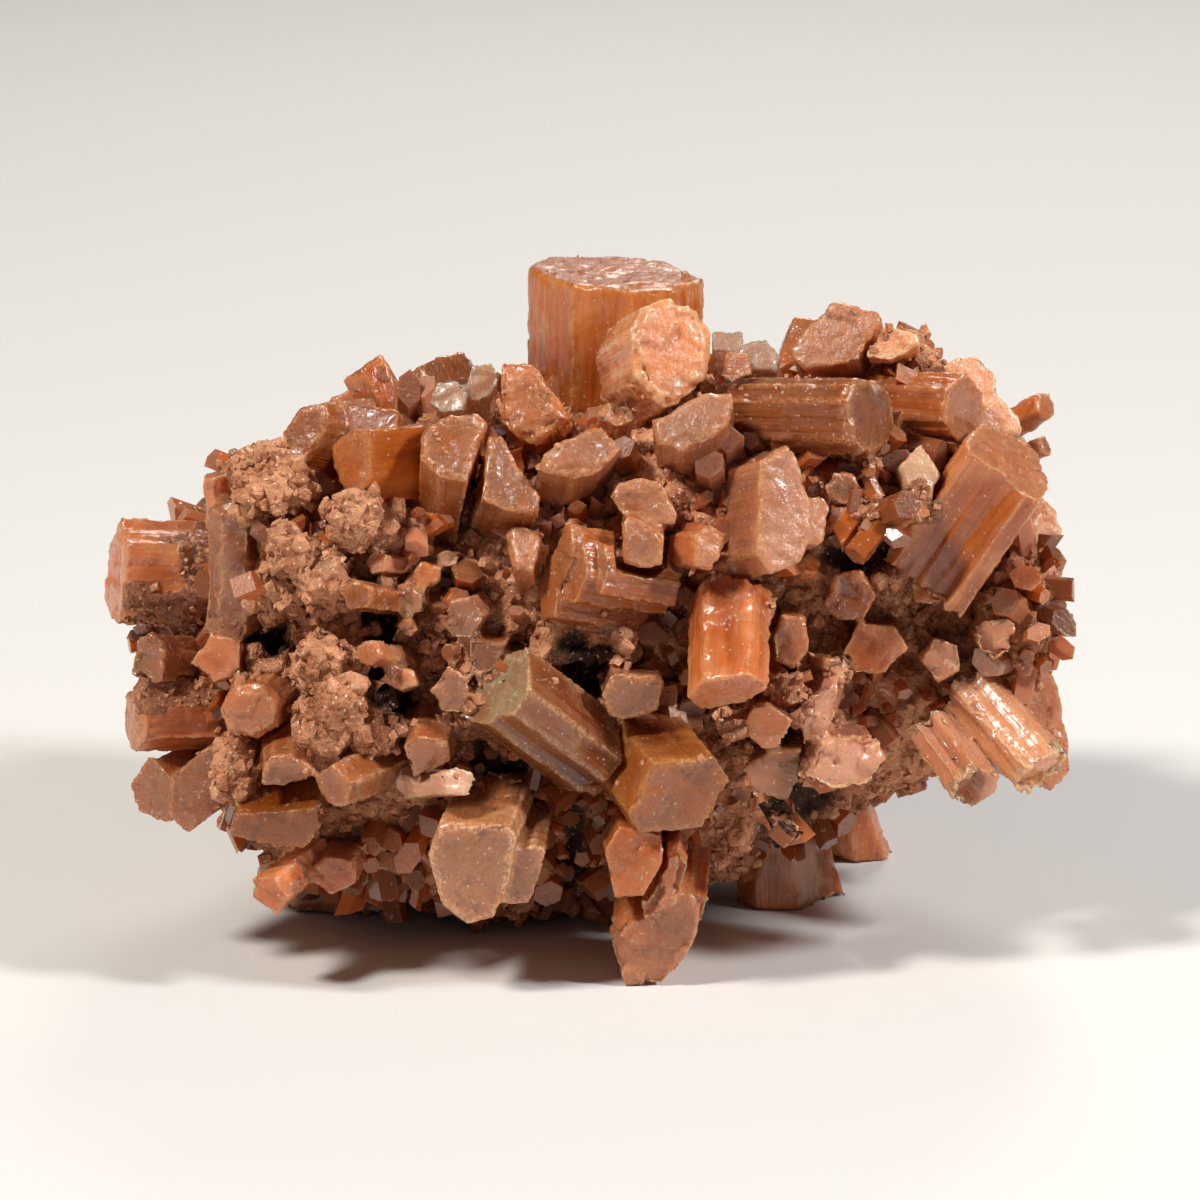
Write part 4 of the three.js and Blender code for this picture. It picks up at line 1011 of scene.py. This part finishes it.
def dressCore():
    relief = coreRelief
    mesh = fineMesh("earthy_core", coreBm, relief["voxel"])
    points, normals = pointsOf(mesh), normalsOf(mesh)
    onCrystal = covered[[coreTree.find_nearest(p)[2] for p in points]].astype(float)
    u, v = seenAt(points)
    inFront = rise(-(normals @ viewAway), -0.3, 0.1)
    deep = np.zeros(len(points))
    ragged = relief["ragged"] * noiseAt(points / relief["raggedSize"], 12, 2)
    for at, half, depth in hollows:
        deep = np.maximum(deep, depth * inFront * shareWithin(u + ragged, v - ragged, at, half))
    patchy = rise(noiseAt(points / relief["patchSize"], 9, 2), 0.0, 0.5)
    crumbly = (1 - inFront) * patchy + inFront * 0.6 * patchy
    for at, half in earthyPlaces:
        crumbly = np.maximum(crumbly, inFront * shareWithin(u, v, at, half))
    lump = noiseAt(points / relief["lumpSize"], 3, 2)
    knob = np.abs(noiseAt(points / relief["knobSize"], 4, 2))
    crumb = noiseAt(points / relief["crumbSize"], 5, 2)
    outward = relief["lump"] * lump + (0.5 + crumbly) * relief["knob"] * knob
    outward += relief["crumb"] * crumb
    outward += relief["filled"] * (0.4 + 0.6 * patchy)
    outward = (1 - onCrystal) * (outward - deep) - onCrystal * relief["drawBack"]
    bare = (1 - onCrystal) * (1 - rise(deep, 0.2, 1.0))
    # painted shade: the hollows are darkened through the tone, each millimetre of depth a step darker
    shade = relief["hollowShade"] * deep
    storeFloat(mesh, "toneAndShade", noiseAt(points / relief["toneSize"], 8, 2) - shade)
    storeFloat(mesh, "druseShare", bare * (1 - rise(crumbly, 0.0, 0.6)))
    storeFloat(mesh, "earthShare", bare * crumbly)
    storeFloat(mesh, "bareShare", bare)
    moved = points + normals * outward[:, None]
    placePiece("earthy_core_skin", mesh, moved, crust, "earth", "earthy_core")
    return mesh


coreMesh = dressCore()
print("core dressed:", len(coreMesh.polygons), "faces")

# Druse: the finest crystals and crumbs, on the core and on the crusted roots

mostPoints = 4e6  # to the square metre, before the spacing thins them
seedStep = 20  # between one surface and the next
druseSettings = {
    "druse_coarse": {
        "where": "druseShare",
        "spacing": 1.5,
        "wide": (1.0, 2.3),
        "tall": (0.9, 1.6),  # times the width
        "lean": 0.4,
        "seed": 3,
        "sides": (6, 5, 6, 4, 6),  # one for each shape, 0 for an angular lump
        "slant": 0.35,
        "sunk": 0.25,
        "slot": "rust",
    },
    "druse_fine": {
        "where": "druseShare",
        "spacing": 0.95,
        "wide": (0.5, 1.3),
        "tall": (0.8, 1.7),
        "lean": 0.7,
        "seed": 5,
        "sides": (6, 5, 4),
        "slant": 0.4,
        "sunk": 0.25,
        "slot": "rust",
    },
    "earthy_chunks": {
        "where": "earthShare",
        "spacing": 0.95,
        "wide": (0.5, 1.7),
        "tall": (0.6, 1.1),
        "lean": 3.0,
        "seed": 11,
        "sides": (0, 0, 0),
        "slant": 0.3,
        "sunk": 0.45,
        "slot": "earth",
    },
    "crumbs": {
        "where": "bareShare",
        "spacing": 0.8,
        "wide": (0.25, 0.8),
        "tall": (0.7, 1.1),
        "lean": 3.0,
        "seed": 7,
        "sides": (0, 4, 0),
        "slant": 0.5,
        "sunk": 0.1,
        "slot": "earth",
    },
    "crystal_crumbs": {
        "where": "crumbShare",
        "spacing": 0.42,
        "wide": (0.18, 0.55),
        "tall": (0.6, 1.2),
        "lean": 3.0,
        "seed": 9,
        "sides": (4, 5, 3),
        "slant": 0.5,
        "sunk": 0.15,
        "slot": "earth",
    },
}


def nodeInput(tree, name, kind):
    return tree.interface.new_socket(name=name, in_out="INPUT", socket_type="NodeSocket" + kind)


def randomNode(tree, kind, low, high, seed):
    first = {"FLOAT_VECTOR": 0, "FLOAT": 2}[kind]
    node = addNode(tree, "FunctionNodeRandomValue", data_type=kind)
    for key, value in ((first, low), (first + 1, high), (8, seed)):
        if isinstance(value, bpy.types.NodeSocket):
            tree.links.new(value, node.inputs[key])
        else:
            node.inputs[key].default_value = value
    return node.outputs[0 if kind == "FLOAT_VECTOR" else 1]


# An angular lump, 1 across, as a round shape whose corners are pushed about
def chunkShape(tree, slant, turn, sunk):
    ball = addNode(tree, "GeometryNodeMeshIcoSphere", {"Radius": 0.5, "Subdivisions": 1})
    push = randomNode(tree, "FLOAT_VECTOR", (-slant / 2,) * 3, (slant / 2,) * 3, int(10 * turn))
    lifted = addNode(tree, "ShaderNodeVectorMath", {0: push, 1: (0, 0, 0.5 - sunk)}, operation="ADD")
    values = {"Geometry": ball.outputs["Mesh"], "Offset": lifted.outputs[0]}
    moved = addNode(tree, "GeometryNodeSetPosition", values)
    return addNode(tree, "GeometryNodeGeometryToInstance", {"Geometry": moved.outputs[0]}).outputs[0]


# One small prism, 1 across and 1 high, with a slanting end
def prismShape(tree, sides, slant, turn, sunk):
    values = {"Vertices": sides, "Radius": 0.5, "Depth": 1.0}
    prism = addNode(tree, "GeometryNodeMeshCylinder", values, fill_type="NGON")
    place = addNode(tree, "GeometryNodeInputPosition").outputs[0]
    height = addNode(tree, "ShaderNodeSeparateXYZ", {"Vector": place}).outputs["Z"]
    atEnd = mathNode(tree, "GREATER_THAN", height, 0.0)
    way = (slant * math.cos(turn), slant * math.sin(turn), 0)
    sloped = addNode(tree, "ShaderNodeVectorMath", {0: place, 1: way}, operation="DOT_PRODUCT")
    lift = mathNode(tree, "MULTIPLY", atEnd, sloped.outputs["Value"])
    lift = mathNode(tree, "ADD", lift, 0.5 - sunk)
    offset = addNode(tree, "ShaderNodeCombineXYZ", {"Z": lift})
    values = {"Geometry": prism.outputs["Mesh"], "Offset": offset.outputs[0]}
    moved = addNode(tree, "GeometryNodeSetPosition", values)
    facing = addNode(tree, "GeometryNodeInputNormal").outputs[0]
    facing = addNode(tree, "ShaderNodeSeparateXYZ", {"Vector": facing}).outputs["Z"]
    marked = addNode(
        tree,
        "GeometryNodeStoreNamedAttribute",
        {"Geometry": moved.outputs[0], "Name": "cap", "Value": mathNode(tree, "GREATER_THAN", facing, 0.5)},
        data_type="FLOAT",
        domain="FACE",
    )
    return addNode(tree, "GeometryNodeGeometryToInstance", {"Geometry": marked.outputs[0]}).outputs[0]


def druseTree(name, settings):
    tree = bpy.data.node_groups.new(name, "GeometryNodeTree")
    nodeInput(tree, "Surface", "Geometry")
    for label in ("Spacing", "Narrowest", "Widest", "Shortest", "Tallest", "Lean"):
        nodeInput(tree, label, "Float")
    nodeInput(tree, "Seed", "Int")
    nodeInput(tree, "Where", "String")
    nodeInput(tree, "Material", "Material")
    tree.interface.new_socket(name="Druse", in_out="OUTPUT", socket_type="NodeSocketGeometry")
    given = addNode(tree, "NodeGroupInput").outputs
    seed = given["Seed"]
    share = addNode(tree, "GeometryNodeInputNamedAttribute", {"Name": given["Where"]}, data_type="FLOAT")
    points = addNode(
        tree,
        "GeometryNodeDistributePointsOnFaces",
        {
            "Mesh": given["Surface"],
            "Distance Min": given["Spacing"],
            "Density Max": mostPoints,
            "Density Factor": share.outputs["Attribute"],
            "Seed": seed,
        },
        distribute_method="POISSON",
    )
    shapes = addNode(tree, "GeometryNodeJoinGeometry")
    for number, sides in enumerate(settings["sides"]):
        turn = 2.4 * number
        if sides:
            slant = settings["slant"] * (0.4 + 0.3 * number)
            shape = prismShape(tree, sides, slant, turn, settings["sunk"])
        else:
            shape = chunkShape(tree, settings["slant"], turn, settings["sunk"])
        tree.links.new(shape, shapes.inputs[0])
    lean = mathNode(tree, "MULTIPLY", given["Lean"], -1.0)
    aside = randomNode(tree, "FLOAT_VECTOR", lean, given["Lean"], seed)
    way = addNode(tree, "ShaderNodeVectorMath", {0: points.outputs["Normal"], 1: aside}, operation="ADD")
    facing = addNode(tree, "FunctionNodeAlignRotationToVector", {"Vector": way.outputs[0]}, axis="Z")
    spin = randomNode(tree, "FLOAT_VECTOR", (0, 0, 0), (0, 0, 6.3), mathNode(tree, "ADD", seed, 1))
    values = {"Rotation": facing.outputs[0], "Rotate By": spin}
    turned = addNode(tree, "FunctionNodeRotateRotation", values, rotation_space="LOCAL")
    wide = randomNode(tree, "FLOAT", given["Narrowest"], given["Widest"], mathNode(tree, "ADD", seed, 2))
    tall = randomNode(tree, "FLOAT", given["Shortest"], given["Tallest"], mathNode(tree, "ADD", seed, 3))
    flat = randomNode(tree, "FLOAT", 0.7, 1.0, mathNode(tree, "ADD", seed, 4))
    deep = mathNode(tree, "MULTIPLY", wide, flat)
    high = mathNode(tree, "MULTIPLY", wide, tall)
    size = addNode(tree, "ShaderNodeCombineXYZ", {"X": wide, "Y": deep, "Z": high})
    grown = addNode(
        tree,
        "GeometryNodeInstanceOnPoints",
        {
            "Points": points.outputs["Points"],
            "Instance": shapes.outputs[0],
            "Pick Instance": True,
            "Rotation": turned.outputs[0],
            "Scale": size.outputs[0],
        },
    ).outputs[0]
    for label, low, high, step in (("toneAndShade", -0.9, 0.5, 5), ("tint", -0.1, 0.8, 6)):
        value = randomNode(tree, "FLOAT", low, high, mathNode(tree, "ADD", seed, step))
        grown = addNode(
            tree,
            "GeometryNodeStoreNamedAttribute",
            {"Geometry": grown, "Name": label, "Value": value},
            data_type="FLOAT",
            domain="INSTANCE",
        ).outputs[0]
    real = addNode(tree, "GeometryNodeRealizeInstances", {"Geometry": grown}).outputs[0]
    done = addNode(tree, "GeometryNodeSetMaterial", {"Geometry": real, "Material": given["Material"]})
    result = addNode(tree, "NodeGroupOutput")
    tree.links.new(done.outputs[0], result.inputs[0])
    return tree


def growDruse(name, settings, surfaces):
    tree = druseTree(name, settings)
    material = crust if settings["slot"] == "earth" else crystalMaterials[settings["slot"]]
    values = {
        "Spacing": settings["spacing"] * mm,
        "Narrowest": settings["wide"][0] * mm,
        "Widest": settings["wide"][1] * mm,
        "Shortest": settings["tall"][0],
        "Tallest": settings["tall"][1],
        "Lean": settings["lean"],
        "Where": settings["where"],
        "Material": material,
    }
    pieces = []
    for number, surface in enumerate(surfaces):
        base = bpy.data.objects.new(name + "Base", surface)
        scene.collection.objects.link(base)
        modifier = base.modifiers.new("grow", "NODES")
        modifier.node_group = tree
        values["Seed"] = settings["seed"] + seedStep * number
        for item in tree.interface.items_tree:
            if item.in_out == "INPUT" and item.name in values:
                modifier[item.identifier] = values[item.name]
        depsgraph = bpy.context.evaluated_depsgraph_get()
        mesh = bpy.data.meshes.new_from_object(base.evaluated_get(depsgraph))
        bpy.data.objects.remove(base)
        if len(mesh.vertices):
            piece = bpy.data.objects.new(name, mesh)
            scene.collection.objects.link(piece)
            pieces.append(piece)
    piece = pieces[0]
    if len(pieces) > 1:
        with bpy.context.temp_override(active_object=piece, selected_editable_objects=pieces):
            bpy.ops.object.join()
    mesh = piece.data
    points = np.clip(pointsOf(mesh), np.array(cadLow), np.array(cadHigh))
    mesh.vertices.foreach_set("co", points.ravel())
    mesh.polygons.foreach_set("use_smooth", np.zeros(len(mesh.polygons), bool))
    mesh.update()
    piece.name = name
    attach(piece, "root")
    print(name, "has", len(mesh.polygons), "faces")


for name, settings in druseSettings.items():
    growDruse(name, settings, crystalMeshes if settings["where"] == "crumbShare" else [coreMesh])
